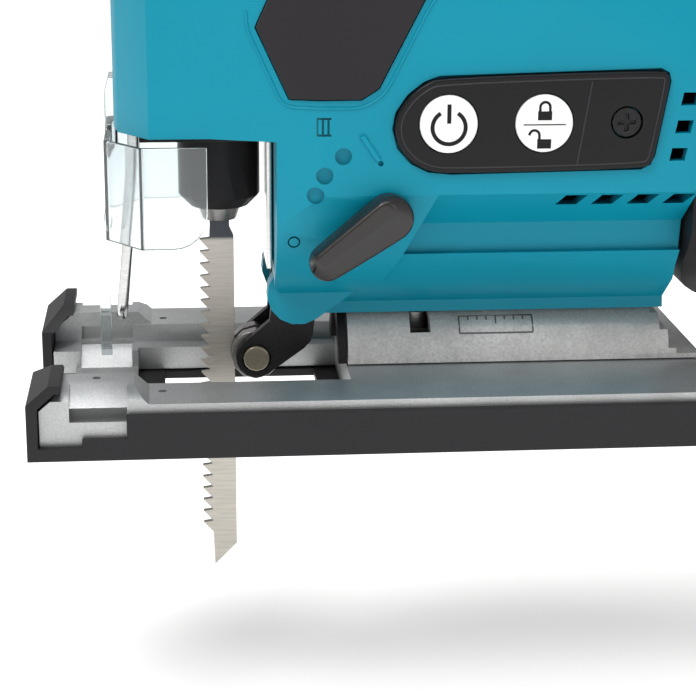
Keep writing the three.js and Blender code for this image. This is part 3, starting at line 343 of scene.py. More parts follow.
@dataclass(frozen=True)
class ClearResin:
    """Polished transparent resin.

    Attributes:
        name: Material and process.
        tint: Colour of the light that passes.
        index: Refractive index.
    """

    name: str
    tint: str
    index: float = 1.49

    def make(self) -> bpy.types.Material:
        """Builds the material: nearly all light passes, and slight flow waves bend the highlights.

        Returns:
            The material.
        """
        material, tree, shader = new_material(self.name)
        waves = add_node(
            tree, "ShaderNodeTexNoise", {"Scale": 1 / (7 * MM), "Detail": 1.0},
            {"Vector": scaled_place(tree, (1, 1, 1))},
        )
        gloss = add_node(
            tree, "ShaderNodeMapRange", {"To Min": 0.03, "To Max": 0.09}, {"Value": waves.outputs["Fac"]}
        )
        bump = add_node(
            tree, "ShaderNodeBump", {"Strength": 0.15, "Distance": 0.05 * MM},
            {"Height": waves.outputs["Fac"]},
        )
        shader.inputs["Base Color"].default_value = linear(self.tint)
        shader.inputs["Transmission Weight"].default_value = 0.97
        shader.inputs["IOR"].default_value = self.index
        surfaced(tree, shader, gloss, bump)
        return material


class Finishes:
    """Every finish on the saw, made once."""

    def __init__(self) -> None:
        """Makes the materials."""
        make: Callable[[Any], bpy.types.Material] = lambda finish: finish.make()
        self.teal = make(Moulded("teal_moulded_polyamide", "008AA2", "00839A", 0.4, 0.45, 0.016))
        self.black = make(Moulded("black_moulded_polyamide", "1E1D1F", "19181A", 0.46, 0.4, 0.03))
        self.shoe_black = make(Moulded("black_sole_resin", "262527", "201F21", 0.5, 0.55, 0.05))
        self.membrane = make(Moulded("black_membrane_film", "161517", "131214", 0.3, 0.3, 0.006))
        # Lighter grey for the membrane's raised lines: a painted highlight along them, the film itself being
        # black.
        self.membrane_line_highlight = make(Moulded("embossed_membrane_edge", "39383B", "313033", 0.3, 0.3, 0.006))
        self.rubber = make(Moulded("overmoulded_elastomer", "272427", "211F21", 0.66, 0.35, 0.05, 0.1))
        self.lever = make(Moulded("black_lever_resin", "211E1D", "1C1918", 0.3, 0.5, 0.014, mirror=0.5))
        self.white = make(Moulded("white_button_resin", "F4F4F2", "ECECEA", 0.36, 0.6, 0.008))
        self.ink = make(Moulded("black_printed_ink", "141414", "101010", 0.5, 0.2, 0.004))
        # Darker teal for the recesses of the sunk marks: painted shade in the recesses, the shell round them
        # being the same teal.
        self.mark = make(Moulded("moulded_mark_in_teal", "005968", "005260", 0.5, 0.4, 0.01))
        self.casting = make(Metal(
            "sand_finished_cast_aluminium", "DEDDDA", "B9B8B6", 0.5, 0.6, (0.7, 0.7, 0.7), 0.16))
        self.plate = make(Metal("die_cast_aluminium", "BDBEBE", "A5A6A7", 0.42, 0.8, (0.5, 0.5, 0.5), 0.05))
        # Darker grey for the saddle scale's lines: painted shade of the grooves, the metal being the same
        # aluminium.
        self.scale_groove_shade = make(Metal("engraved_aluminium", "7F7F7E", "6A6A69", 0.5, 0.7, (0.4, 0.4, 0.4), 0.02))
        self.steel = make(Metal("ground_steel", "A9A7A4", "8C8A87", 0.32, 0.95, (3.0, 0.3, 0.3), 0.01))
        self.pin = make(Metal("turned_steel_pin", "A59B88", "8E8576", 0.38, 0.85, (0.4, 2.0, 0.4), 0.012))
        self.bright = make(Metal(
            "polished_steel", "CFCFCE", "B9B9B8", 0.16, 1.0, (2.0, 2.0, 0.4), 0.004, 0.04))
        self.oxide = make(Metal("black_oxide_steel", "2A292B", "1D1C1E", 0.42, 0.6, (0.6, 0.6, 0.6), 0.03))
        self.bronze = make(Metal("sintered_bronze", "9A6B3C", "7E5630", 0.45, 0.9, (0.3, 0.3, 0.3), 0.03))
        self.copper = make(Metal("enamelled_windings", "B5643A", "8A4A2A", 0.4, 0.7, (0.5, 6.0, 0.5), 0.06))
        self.board = make(Moulded("coated_circuit_board", "1F4D33", "18402A", 0.42, 0.8, 0.02))
        self.blade = make(CoatedBlade("ground_blade_steel", "CFCAC1", "43464B", 36.6 * MM))
        self.clear = make(ClearResin("polished_clear_resin", "EAF1F3"))


def finish_mesh(
    piece: bpy.types.Object, round_mm: float, steps: int = 2, sharp: float = 30.0
) -> bpy.types.Object:
    """Rounds the edges of a piece and settles its shading, then clears the modifiers.

    Args:
        piece: The mesh object, in place.
        round_mm: Width of the rounding, or zero for none.
        steps: Segments across each rounding.
        sharp: Angle in degrees above which an edge counts as sharp.

    Returns:
        The same object.
    """
    if round_mm > 0:
        bevel = piece.modifiers.new("rounding", "BEVEL")
        bevel.width = round_mm * MM
        bevel.segments = steps
        bevel.limit_method = "ANGLE"
        bevel.angle_limit = math.radians(sharp)
        bevel.use_clamp_overlap = True
        bevel.miter_outer = "MITER_ARC"
    weighted = piece.modifiers.new("shading", "WEIGHTED_NORMAL")
    weighted.keep_sharp = True
    for face in piece.data.polygons:
        face.use_smooth = True
    if round_mm <= 0:
        piece.data.set_sharp_from_angle(angle=math.radians(sharp))
    bpy.context.view_layer.update()
    graph = bpy.context.evaluated_depsgraph_get()
    evaluated = piece.evaluated_get(graph)
    mesh = bpy.data.meshes.new_from_object(evaluated, preserve_all_data_layers=True, depsgraph=graph)
    piece.modifiers.clear()
    old = piece.data
    piece.data = mesh
    bpy.data.meshes.remove(old)
    mesh.name = piece.name
    return piece


def object_from(name: str, shape: bmesh.types.BMesh, material: bpy.types.Material) -> bpy.types.Object:
    """Turns an edit mesh into a linked object at the origin with its normals outward.

    Args:
        name: The piece's name.
        shape: The edit mesh, which is freed.
        material: Its finish.

    Returns:
        The new object.
    """
    bmesh.ops.recalc_face_normals(shape, faces=shape.faces)
    mesh = bpy.data.meshes.new(name)
    shape.to_mesh(mesh)
    shape.free()
    mesh.materials.append(material)
    piece = bpy.data.objects.new(name, mesh)
    bpy.context.scene.collection.objects.link(piece)
    return piece


def placed(piece: bpy.types.Object, body: str) -> bpy.types.Object:
    """Lets a finished piece ride with a body and logs it.

    Args:
        piece: The piece, in place.
        body: The body's name.

    Returns:
        The piece.
    """
    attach(piece, body)
    LOG.info("%s on %s, %d faces", piece.name, body, len(piece.data.polygons))
    return piece


def joint_place(joint: str) -> Vector:
    """Finds where a joint lies.

    Args:
        joint: The joint's name.

    Returns:
        Its place in millimetres.
    """
    joints = frame["record"]["behaviour"]["joints"]
    return Vector(next(j for j in joints if j["name"] == joint)["pos_m"]) / MM


def from_lever(offset: Point) -> Point:
    """Turns an offset from the lever's pivot into a place.

    Args:
        offset: How far behind and above the pivot it lies, in millimetres.

    Returns:
        X and Z in millimetres.
    """
    pivot = joint_place("orbit_select")
    return (pivot.x + offset[0], pivot.z + offset[1])


def body_of(node: str) -> str:
    """Finds the body that a node belongs to.

    Args:
        node: The node's name.

    Returns:
        The body's name.
    """
    groups = frame["record"]["behaviour"]["bodies"]
    return next(body for body, members in groups.items() if node in members)


def carved(piece: bpy.types.Object, cutters: Sequence[bpy.types.Object]) -> bpy.types.Object:
    """Sinks recesses into a piece; each recess takes the finish of its cutter.

    Args:
        piece: The piece, in place.
        cutters: Closed meshes to take away, which are removed.

    Returns:
        The same piece.
    """
    for cutter in cutters:
        piece.data.materials.append(cutter.data.materials[0])
        taken = piece.modifiers.new("recess", "BOOLEAN")
        taken.operation = "DIFFERENCE"
        taken.solver = "EXACT"
        taken.material_mode = "TRANSFER"
        taken.object = cutter
    bpy.context.view_layer.update()
    graph = bpy.context.evaluated_depsgraph_get()
    mesh = bpy.data.meshes.new_from_object(
        piece.evaluated_get(graph), preserve_all_data_layers=True, depsgraph=graph
    )
    piece.modifiers.clear()
    piece.data = mesh
    for cutter in cutters:
        bpy.data.objects.remove(cutter)
    return finish_mesh(piece, 0, sharp=50)


def refined(
    node: str, material: bpy.types.Material, round_mm: float, steps: int = 2, sharp: float = 30.0,
    cutters: Sequence[bpy.types.Object] = (),
) -> bpy.types.Object:
    """Makes the finished piece for a node from its own shape, merged, with rounded edges.

    Args:
        node: The node it stands for.
        material: Its finish.
        round_mm: Edge rounding.
        steps: Segments across each rounding.
        sharp: Angle in degrees above which an edge is rounded.
        cutters: Closed meshes that leave recesses in it.

    Returns:
        The piece, riding with the node's body.
    """
    shape = bmesh.new()
    shape.from_mesh(frame["nodes"][node].data)
    bmesh.ops.remove_doubles(shape, verts=shape.verts, dist=0.002 * MM)
    bmesh.ops.dissolve_degenerate(shape, edges=shape.edges, dist=0.01 * MM)
    bmesh.ops.dissolve_limit(
        shape, angle_limit=math.radians(1.2), verts=shape.verts, edges=shape.edges,
        use_dissolve_boundaries=False,
    )
    piece = object_from(f"{node}_finished", shape, material)
    finish_mesh(piece, round_mm, steps, sharp)
    if cutters:
        carved(piece, cutters)
    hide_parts(node)
    return placed(piece, body_of(node))


def dressed(node: str, material: bpy.types.Material) -> None:
    """Gives a node that stays as it is its finish.

    Args:
        node: The node's name.
        material: Its finish.
    """
    mesh = frame["nodes"][node].data
    mesh.materials.clear()
    mesh.materials.append(material)
    LOG.info("%s dressed as %s", node, material.name)


def side_prism(
    name: str, outline: Sequence[Point], y_mm: tuple[float, float], material: bpy.types.Material
) -> bpy.types.Object:
    """Extrudes a closed (x, z) outline across the saw.

    Args:
        name: The piece's name.
        outline: Corners in millimetres.
        y_mm: Where it starts and ends across the saw.
        material: Its finish.

    Returns:
        The piece, not yet riding.
    """
    shape = bmesh.new()
    near = [shape.verts.new((x * MM, y_mm[0] * MM, z * MM)) for x, z in outline]
    far = [shape.verts.new((x * MM, y_mm[1] * MM, z * MM)) for x, z in outline]
    shape.faces.new(near)
    shape.faces.new(far[::-1])
    for i in range(len(outline)):
        j = (i + 1) % len(outline)
        shape.faces.new((near[i], far[i], far[j], near[j]))
    return object_from(name, shape, material)


def side_outline(node: str) -> list[Point]:
    """Finds a convex node's outline seen from the side, with its corners cut twice to round them.

    Args:
        node: The node's name.

    Returns:
        The outline in millimetres, anticlockwise.
    """
    corners = frame["nodes"][node].data.vertices
    spots = sorted({(round(v.co.x / MM, 3), round(v.co.z / MM, 3)) for v in corners})
    halves = []
    for row in (spots, spots[::-1]):
        chain: list[Point] = []
        for spot in row:
            while len(chain) > 1:
                (ax, az), (bx, bz) = chain[-2:]
                if (bx - ax) * (spot[1] - az) - (bz - az) * (spot[0] - ax) > 0:
                    break
                chain.pop()
            chain.append(spot)
        halves += chain[:-1]
    outline = halves
    for _ in range(2):
        cut = []
        for here, there in zip(outline, outline[1:] + outline[:1]):
            for share in (0.25, 0.75):
                cut.append(tuple(a + (b - a) * share for a, b in zip(here, there)))
        outline = cut
    return outline


def turned(
    node: str, material: bpy.types.Material, round_mm: float, radius_mm: float, y_mm: tuple[float, float]
) -> bpy.types.Object:
    """Shapes a smooth round bar along Y on a round node's axis.

    Args:
        node: The node's name.
        material: Its finish.
        round_mm: Edge rounding.
        radius_mm: The bar's radius.
        y_mm: Where it starts and ends across the saw.

    Returns:
        The bar, not yet riding.
    """
    low, high = (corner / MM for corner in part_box(node))
    middle = (low + high) / 2
    ring = arc(middle.x, middle.z, radius_mm, 0, 356.25, 95)
    return finish_mesh(side_prism(f"{node}_finished", ring, y_mm, material), round_mm, 4)


def swept(
    name: str, path: Sequence[Sequence[float]], radius_mm: float, material: bpy.types.Material,
    closed: bool = False, sides: int = 10,
) -> bpy.types.Object:
    """Sweeps a round bar along points in millimetres.

    Args:
        name: The piece's name.
        path: Points in millimetres.
        radius_mm: The bar's radius.
        material: Its finish.
        closed: Whether the bar runs back to its start.
        sides: Faces round the bar.

    Returns:
        The piece, not yet riding.
    """
    points = [Vector(p) * MM for p in path]
    count = len(points)
    shape = bmesh.new()
    rings = []
    across = None
    for i, point in enumerate(points):
        before = points[(i - 1) % count] if closed or i else point
        after = points[(i + 1) % count] if closed or i < count - 1 else point
        along = (after - before).normalized()
        if across is None:
            across = along.orthogonal().normalized()
        across = (across - along * across.dot(along)).normalized()
        other = along.cross(across)
        rings.append([
            shape.verts.new(point + (across * math.cos(a) + other * math.sin(a)) * radius_mm * MM)
            for a in (2 * math.pi * k / sides for k in range(sides))
        ])
    for i in range(count if closed else count - 1):
        ring, following = rings[i], rings[(i + 1) % count]
        for k in range(sides):
            m = (k + 1) % sides
            shape.faces.new((ring[k], ring[m], following[m], following[k]))
    if not closed:
        shape.faces.new(rings[0][::-1])
        shape.faces.new(rings[-1])
    piece = object_from(name, shape, material)
    return finish_mesh(piece, 0, sharp=50)


def rounded_path(points: Sequence[Sequence[float]], radius_mm: float, steps: int = 6) -> list[Vector]:
    """Rounds the inner corners of an open path.

    Args:
        points: Corners in millimetres.
        radius_mm: How far from a corner its bend starts.
        steps: Points on each bend.

    Returns:
        The bent path.
    """
    corners = [Vector(p) for p in points]
    path = [corners[0]]
    for before, corner, after in zip(corners, corners[1:], corners[2:]):
        first = corner + (before - corner).normalized() * min(radius_mm, (before - corner).length / 2.1)
        last = corner + (after - corner).normalized() * min(radius_mm, (after - corner).length / 2.1)
        for i in range(steps + 1):
            t = i / steps
            path.append(first * (1 - t) ** 2 + corner * 2 * t * (1 - t) + last * t * t)
    path.append(corners[-1])
    return path


def laid(
    line: Sequence[Point], surface: "Surface", side: Side, step_mm: float = 0.8
) -> list[Sequence[float]]:
    """Lays a line seen from the side onto the body.

    Args:
        line: The line's (x, z) points in millimetres.
        surface: The outside to lie on.
        side: The side of the saw.
        step_mm: Largest distance between points.

    Returns:
        Points in millimetres.
    """
    path = []
    for here, there in zip(line, line[1:]):
        count = max(1, math.ceil(math.dist(here, there) / step_mm))
        for i in range(count):
            x, z = (a + (b - a) * i / count for a, b in zip(here, there))
            path.append((x, surface.at(x, z, side), z))
    x, z = line[-1]
    path.append((x, surface.at(x, z, side), z))
    return path


def arc(x: float, z: float, radius: float, start: float, end: float, steps: int = 20) -> list[Point]:
    """Points on an arc seen from the side.

    Args:
        x: Centre along the saw in millimetres.
        z: Centre height in millimetres.
        radius: Radius in millimetres.
        start: First angle in degrees.
        end: Last angle in degrees.
        steps: Number of chords.

    Returns:
        The points.
    """
    turn = [math.radians(start + (end - start) * i / steps) for i in range(steps + 1)]
    return [(x + radius * math.cos(a), z + radius * math.sin(a)) for a in turn]


def band(line: Sequence[Point], width: float) -> list[Point]:
    """Thickens an open line into an outline.

    Args:
        line: Points in millimetres.
        width: The band's width.

    Returns:
        The outline's corners.
    """
    left, right = [], []
    for i, here in enumerate(line):
        before, after = Vector(line[max(i - 1, 0)]), Vector(line[min(i + 1, len(line) - 1)])
        along = (after - before).normalized()
        normal = Vector((-along.y, along.x)) * width / 2
        left.append((here[0] + normal.x, here[1] + normal.y))
        right.append((here[0] - normal.x, here[1] - normal.y))
    return left + right[::-1]


def merged(name: str, pieces: Sequence[bpy.types.Object]) -> bpy.types.Object:
    """Puts several meshes into one object.

    Args:
        name: The new piece's name.
        pieces: The meshes, which are removed.

    Returns:
        The one object.
    """
    shape = bmesh.new()
    for piece in pieces:
        shape.from_mesh(piece.data)
    material = pieces[0].data.materials[0]
    for piece in pieces:
        bpy.data.objects.remove(piece)
    return object_from(name, shape, material)


class Repeat:
    """Copies of one small piece along a line or round an axis, made by a node tree with a fixed order."""

    tree: bpy.types.NodeTree | None = None

    @classmethod
    def group(cls) -> bpy.types.NodeTree:
        """Builds the node tree on its first use.

        Returns:
            The tree, with the inputs Item, Count, Start, Step, Turn and Finish.
        """
        if cls.tree:
            return cls.tree
        tree = bpy.data.node_groups.new("repeat_item", "GeometryNodeTree")
        ports = [
            ("Item", "NodeSocketObject"), ("Count", "NodeSocketInt"), ("Start", "NodeSocketVector"),
            ("Step", "NodeSocketVector"), ("Turn", "NodeSocketVector"), ("Finish", "NodeSocketMaterial"),
        ]
        for name, kind in ports:
            tree.interface.new_socket(name, in_out="INPUT", socket_type=kind)
        tree.interface.new_socket("Geometry", in_out="OUTPUT", socket_type="NodeSocketGeometry")
        given = add_node(tree, "NodeGroupInput").outputs
        line = add_node(
            tree, "GeometryNodeMeshLine", {"mode": "OFFSET"},
            {"Count": given["Count"], "Start Location": given["Start"], "Offset": given["Step"]},
        )
        item = add_node(tree, "GeometryNodeObjectInfo", {}, {"Object": given["Item"]})
        index = add_node(tree, "GeometryNodeInputIndex")
        turn = add_node(
            tree, "ShaderNodeVectorMath", {"operation": "MULTIPLY"},
            {0: given["Turn"], 1: index.outputs["Index"]},
        )
        copies = add_node(
            tree, "GeometryNodeInstanceOnPoints", {},
            {"Points": line.outputs["Mesh"], "Instance": item.outputs["Geometry"],
             "Rotation": turn.outputs["Vector"]},
        )
        real = add_node(tree, "GeometryNodeRealizeInstances", {}, {"Geometry": copies.outputs["Instances"]})
        finish = add_node(
            tree, "GeometryNodeSetMaterial", {},
            {"Geometry": real.outputs["Geometry"], "Material": given["Finish"]},
        )
        add_node(tree, "NodeGroupOutput", {}, {0: finish.outputs["Geometry"]})
        cls.tree = tree
        return tree

    @classmethod
    def make(
        cls, name: str, item: bpy.types.Object, count: int, start: Sequence[float],
        step: Sequence[float] = (0, 0, 0), turn: Sequence[float] = (0, 0, 0),
    ) -> bpy.types.Object:
        """Makes the copies as one mesh and removes the item.

        Args:
            name: The piece's name.
            item: The item, built round the origin.
            count: How many copies.
            start: First place in millimetres.
            step: Move from one copy to the next in millimetres.
            turn: Turn from one copy to the next in degrees about each axis.

        Returns:
            The piece, not yet riding.
        """
        tree = cls.group()
        holder = bpy.data.objects.new(name, bpy.data.meshes.new(name))
        bpy.context.scene.collection.objects.link(holder)
        modifier = holder.modifiers.new("copies", "NODES")
        modifier.node_group = tree
        names = {s.name: s.identifier for s in tree.interface.items_tree if s.in_out == "INPUT"}
        material = item.data.materials[0]
        values = {
            "Item": item, "Count": count, "Start": [v * MM for v in start], "Step": [v * MM for v in step],
            "Turn": [math.radians(v) for v in turn], "Finish": material,
        }
        for key, value in values.items():
            modifier[names[key]] = value
        bpy.context.view_layer.update()
        evaluated = holder.evaluated_get(bpy.context.evaluated_depsgraph_get())
        mesh = bpy.data.meshes.new_from_object(evaluated)
        holder.modifiers.clear()
        holder.data = mesh
        mesh.name = name
        bpy.data.objects.remove(item)
        return holder


class Surface:
    """The outside of some nodes, to lay details on."""

    def __init__(self, nodes: Iterable[str]) -> None:
        """Collects the nodes' faces.

        Args:
            nodes: The nodes' names.
        """
        shape = bmesh.new()
        for node in nodes:
            shape.from_mesh(frame["nodes"][node].data)
        self.tree = BVHTree.FromBMesh(shape)
        shape.free()

    def at(self, x: float, z: float, side: Side) -> float:
        """Finds how far out the surface is.

        Args:
            x: Place along the saw in millimetres.
            z: Height in millimetres.
            side: Which side to come from.

        Returns:
            The surface's Y in millimetres.
        """
        start = Vector((x * MM, side.value * 0.2, z * MM))
        hit = self.tree.ray_cast(start, Vector((0, -side.value, 0)))[0]
        return hit.y / MM if hit else 0.0


# ---- sub-assemblies ----------------------------------------------------------------------------------------
@dataclass
class Shoe:
    """The cast shoe, its saddle and the resin sole.

    Attributes:
        round_mm: Edge rounding of the castings.
        sole_round_mm: Edge rounding of the sole.
        scale_x: Ends of the engraved scale along the saw.
        scale_turn: How far round the saddle the scale's middle lies, in degrees from the top.
        line_sunk: How far the scale's lines lie below the saddle's surface, so that they clear the body.
    """

    round_mm: float = 0.5
    sole_round_mm: float = 0.45
    scale_x: Point = (17.5, 33.5)
    scale_turn: float = 52.0
    line_sunk: float = 0.15

    def build(self, finishes: Finishes) -> None:
        """Builds the shoe's pieces.

        Args:
            finishes: The saw's finishes.
        """
        refined("shoe_base", finishes.plate, self.round_mm)
        refined("bevel_saddle", finishes.casting, self.round_mm, sharp=32)
        refined("saddle_ring", finishes.black, 0.2)
        refined("shoe_cover_plate", finishes.shoe_black, self.sole_round_mm)
        self.engrave(finishes)

    def engrave(self, finishes: Finishes) -> None:
        """Frames a blank scale on the near side of the saddle, with plain lines in a darker grey that is
        painted shade of the grooves.

        Args:
            finishes: The saw's finishes.
        """
        axis_z = joint_place("bevel_tilt").z
        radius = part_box("bevel_saddle")[1].z / MM - axis_z - self.line_sunk
        first, last = self.scale_x
        lines = []
        spread = 9.0
        for side in Side:
            turns = [math.radians(self.scale_turn + d * spread / 6) for d in range(-6, 7)]
            rim = [(radius * math.sin(t) * side.value, axis_z + radius * math.cos(t)) for t in turns]
            loop = [(first, y, z) for y, z in rim] + [(last, y, z) for y, z in rim[::-1]]
            # The frame and ticks take the darker grey as painted groove shade.
            lines.append(swept("scale_line", loop, 0.2, finishes.scale_groove_shade, closed=True, sides=6))
            for i in range(1, 8):
                x = first + (last - first) * i / 8
                tick = rim[:7] if i == 4 else rim[:4]
                path = [(x, y, z) for y, z in tick]
                lines.append(swept("scale_tick", path, 0.18, finishes.scale_groove_shade, sides=6))
        placed(merged("saddle_scale", lines), "shoe")


@dataclass
class Housing:
    """The two body shells with their moulded marks, and the screws.

    Attributes:
        round_mm: Edge rounding of the shells.
        bars: Middle of the three full-stroke bars; all places are offsets from the lever's pivot.
        bar_pitch: Distance between them.
        bar_height: Their height.
        line_mm: Width of the bars and their serif lines.
        dimples: The three dimples at the lever's stops.
        dimple_radius: Their radius.
        dimple_depth: Their depth.
        hole: Offset from the rib's lower end, radius and depth of the small hole there.
        zero_mark: The ring at the lever's last stop.
        ring_radius: The ring's radius.
        ring_half: Half the ring's line width.
        sign_depth: How deep the bars are sunk.
        ring_depth: How deep the ring is sunk where the side curves away.
        reach: How far the cutters stand out of the side.
        rib: Ends of the rib beside the lever.
    """

    round_mm: float = 0.7
    bars: Point = (-13.2, 17.9)
    bar_pitch: float = 1.1
    bar_height: float = 3.3
    line_mm: float = 0.42
    dimples: tuple[Point, ...] = ((-14.6, 4.1), (-12.8, 8.1), (-9.1, 12.0))
    dimple_radius: float = 1.72
    dimple_depth: float = 1.3
    hole: tuple[float, float, float, float] = (0.5, -0.7, 0.55, 0.8)
    zero_mark: Point = (-18.7, -6.2)
    ring_radius: float = 1.15
    ring_half: float = 0.16
    sign_depth: float = 0.3
    ring_depth: float = 0.9
    reach: float = 2.0
    rib: tuple[Point, Point] = ((-5.4, 16.1), (-2.1, 11.2))

    def build(self, finishes: Finishes, surface: Surface) -> None:
        """Builds the shells and their marks.

        Args:
            finishes: The saw's finishes.
            surface: The outside of the shells.
        """
        recesses = [self.stops(finishes, surface), self.signs(finishes, surface)]
        refined("housing_left", finishes.teal, self.round_mm, sharp=28, cutters=recesses)
        refined("housing_right", finishes.teal, self.round_mm, sharp=28)
        for number in range(1, 8):
            refined(f"housing_screw_{number}", finishes.oxide, 0.15)
        path = [(x, surface.at(x, z, Side.LEFT) - 0.1, z) for x, z in map(from_lever, self.rib)]
        placed(swept("lever_stop_rib", path, 0.62, finishes.teal), "tool")

    def stops(self, finishes: Finishes, surface: Surface) -> bpy.types.Object:
        """Shapes the round recesses that the lever's stops fall into, and the small hole under the rib.

        Args:
            finishes: The saw's finishes.
            surface: The outside of the shells.

        Returns:
            The cutter.
        """
        parts = []
        rounds = [(*from_lever(spot), self.dimple_radius, self.dimple_depth) for spot in self.dimples]
        foot = from_lever(self.rib[1])
        rounds.append((foot[0] + self.hole[0], foot[1] + self.hole[1], *self.hole[2:]))
        for x, z, radius, depth in rounds:
            face = surface.at(x, z, Side.LEFT)
            ring = arc(x, z, radius, 0, 345, 23)
            parts.append(side_prism("round_cutter", ring, (face - self.reach, face + depth), finishes.teal))
        return merged("stop_cutter", parts)

    def signs(self, finishes: Finishes, surface: Surface) -> bpy.types.Object:
        """Shapes the full-stroke bars with their serif lines and the no-stroke ring, whose recesses take a
        darker teal as painted shade.

        Args:
            finishes: The saw's finishes.
            surface: The outside of the shells.

        Returns:
            The cutter.
        """
        x, z = from_lever(self.bars)
        face = surface.at(x, z, Side.LEFT)
        span = (face - self.reach, face + self.sign_depth)
        half = self.bar_height / 2
        wide = self.bar_pitch + self.line_mm + 0.15
        lines = [[(x - wide, z + end), (x + wide, z + end)] for end in (-half, half)]
        stem = half - self.line_mm / 2 - 0.03
        for step in (-1, 0, 1):
            across = x + step * self.bar_pitch
            lines.append([(across, z - stem), (across, z + stem)])
        # The bar cutters carry the darker teal, so the bars' recesses get painted shade.
        parts = [side_prism("bar_cutter", band(line, self.line_mm), span, finishes.mark) for line in lines]
        x, z = from_lever(self.zero_mark)
        face = surface.at(x, z, Side.LEFT)
        ring = arc(x, z, self.ring_radius, 0, 340, 17)
        span = (face - self.reach, face + self.ring_depth)
        parts.append(self.ring_cutter(ring, (x, z), span, finishes))
        return merged("sign_cutter", parts)

    def ring_cutter(
        self, ring: Sequence[Point], middle: Point, span: Point, finishes: Finishes
    ) -> bpy.types.Object:
        """Makes the closed tube-like cutter of the no-stroke ring.

        Args:
            ring: The ring's centre line.
            middle: Its centre.
            span: Its two Y limits.
            finishes: The saw's finishes.

        Returns:
            The cutter.
        """
        shape = bmesh.new()
        rows = []
        wide = self.ring_half
        for grow, y in ((wide, span[0]), (wide, span[1]), (-wide, span[1]), (-wide, span[0])):
            row = []
            for x, z in ring:
                away = Vector((x - middle[0], z - middle[1]))
                away = away.normalized() * (away.length + grow)
                row.append(shape.verts.new(((middle[0] + away.x) * MM, y * MM, (middle[1] + away.y) * MM)))
            rows.append(row)
        count = len(ring)
        for a, b in ((0, 1), (1, 2), (2, 3), (3, 0)):
            for i in range(count):
                j = (i + 1) % count
                shape.faces.new((rows[a][i], rows[a][j], rows[b][j], rows[b][i]))
        # The ring's recess also takes the darker teal as painted shade.
        return object_from("ring_cutter", shape, finishes.mark)


@dataclass
class Grips:
    """The elastomer pads, with a ridge in the shell round each.

    Attributes:
        round_mm: Edge rounding of the pads.
        ridge: The ridge's corners, from front to rear.
    """

    round_mm: float = 0.5
    ridge: tuple[Point, ...] = (
        (-28.4, 88.0), (-28.4, 84.8), (-21.4, 69.6), (-5.6, 69.6), (-1.4, 72.4), (7.4, 90.0), (15.0, 99.2),
        (60.0, 104.2),
    )

    def build(self, finishes: Finishes, surface: Surface) -> None:
        """Builds the pads and ridges.

        Args:
            finishes: The saw's finishes.
            surface: The outside of the shells.
        """
        for side in Side:
            refined(f"side_grip_{side.name.lower()}", finishes.rubber, self.round_mm, 3)
            line = rounded_path([(x, 0, z) for x, z in self.ridge], 2.5)
            path = laid([(p.x, p.z) for p in line], surface, side)
            ridge = swept(f"grip_ridge_{side.name.lower()}", path, 0.32, finishes.teal, sides=8)
            placed(ridge, "tool")
        refined("barrel_grip", finishes.rubber, self.round_mm, 3)


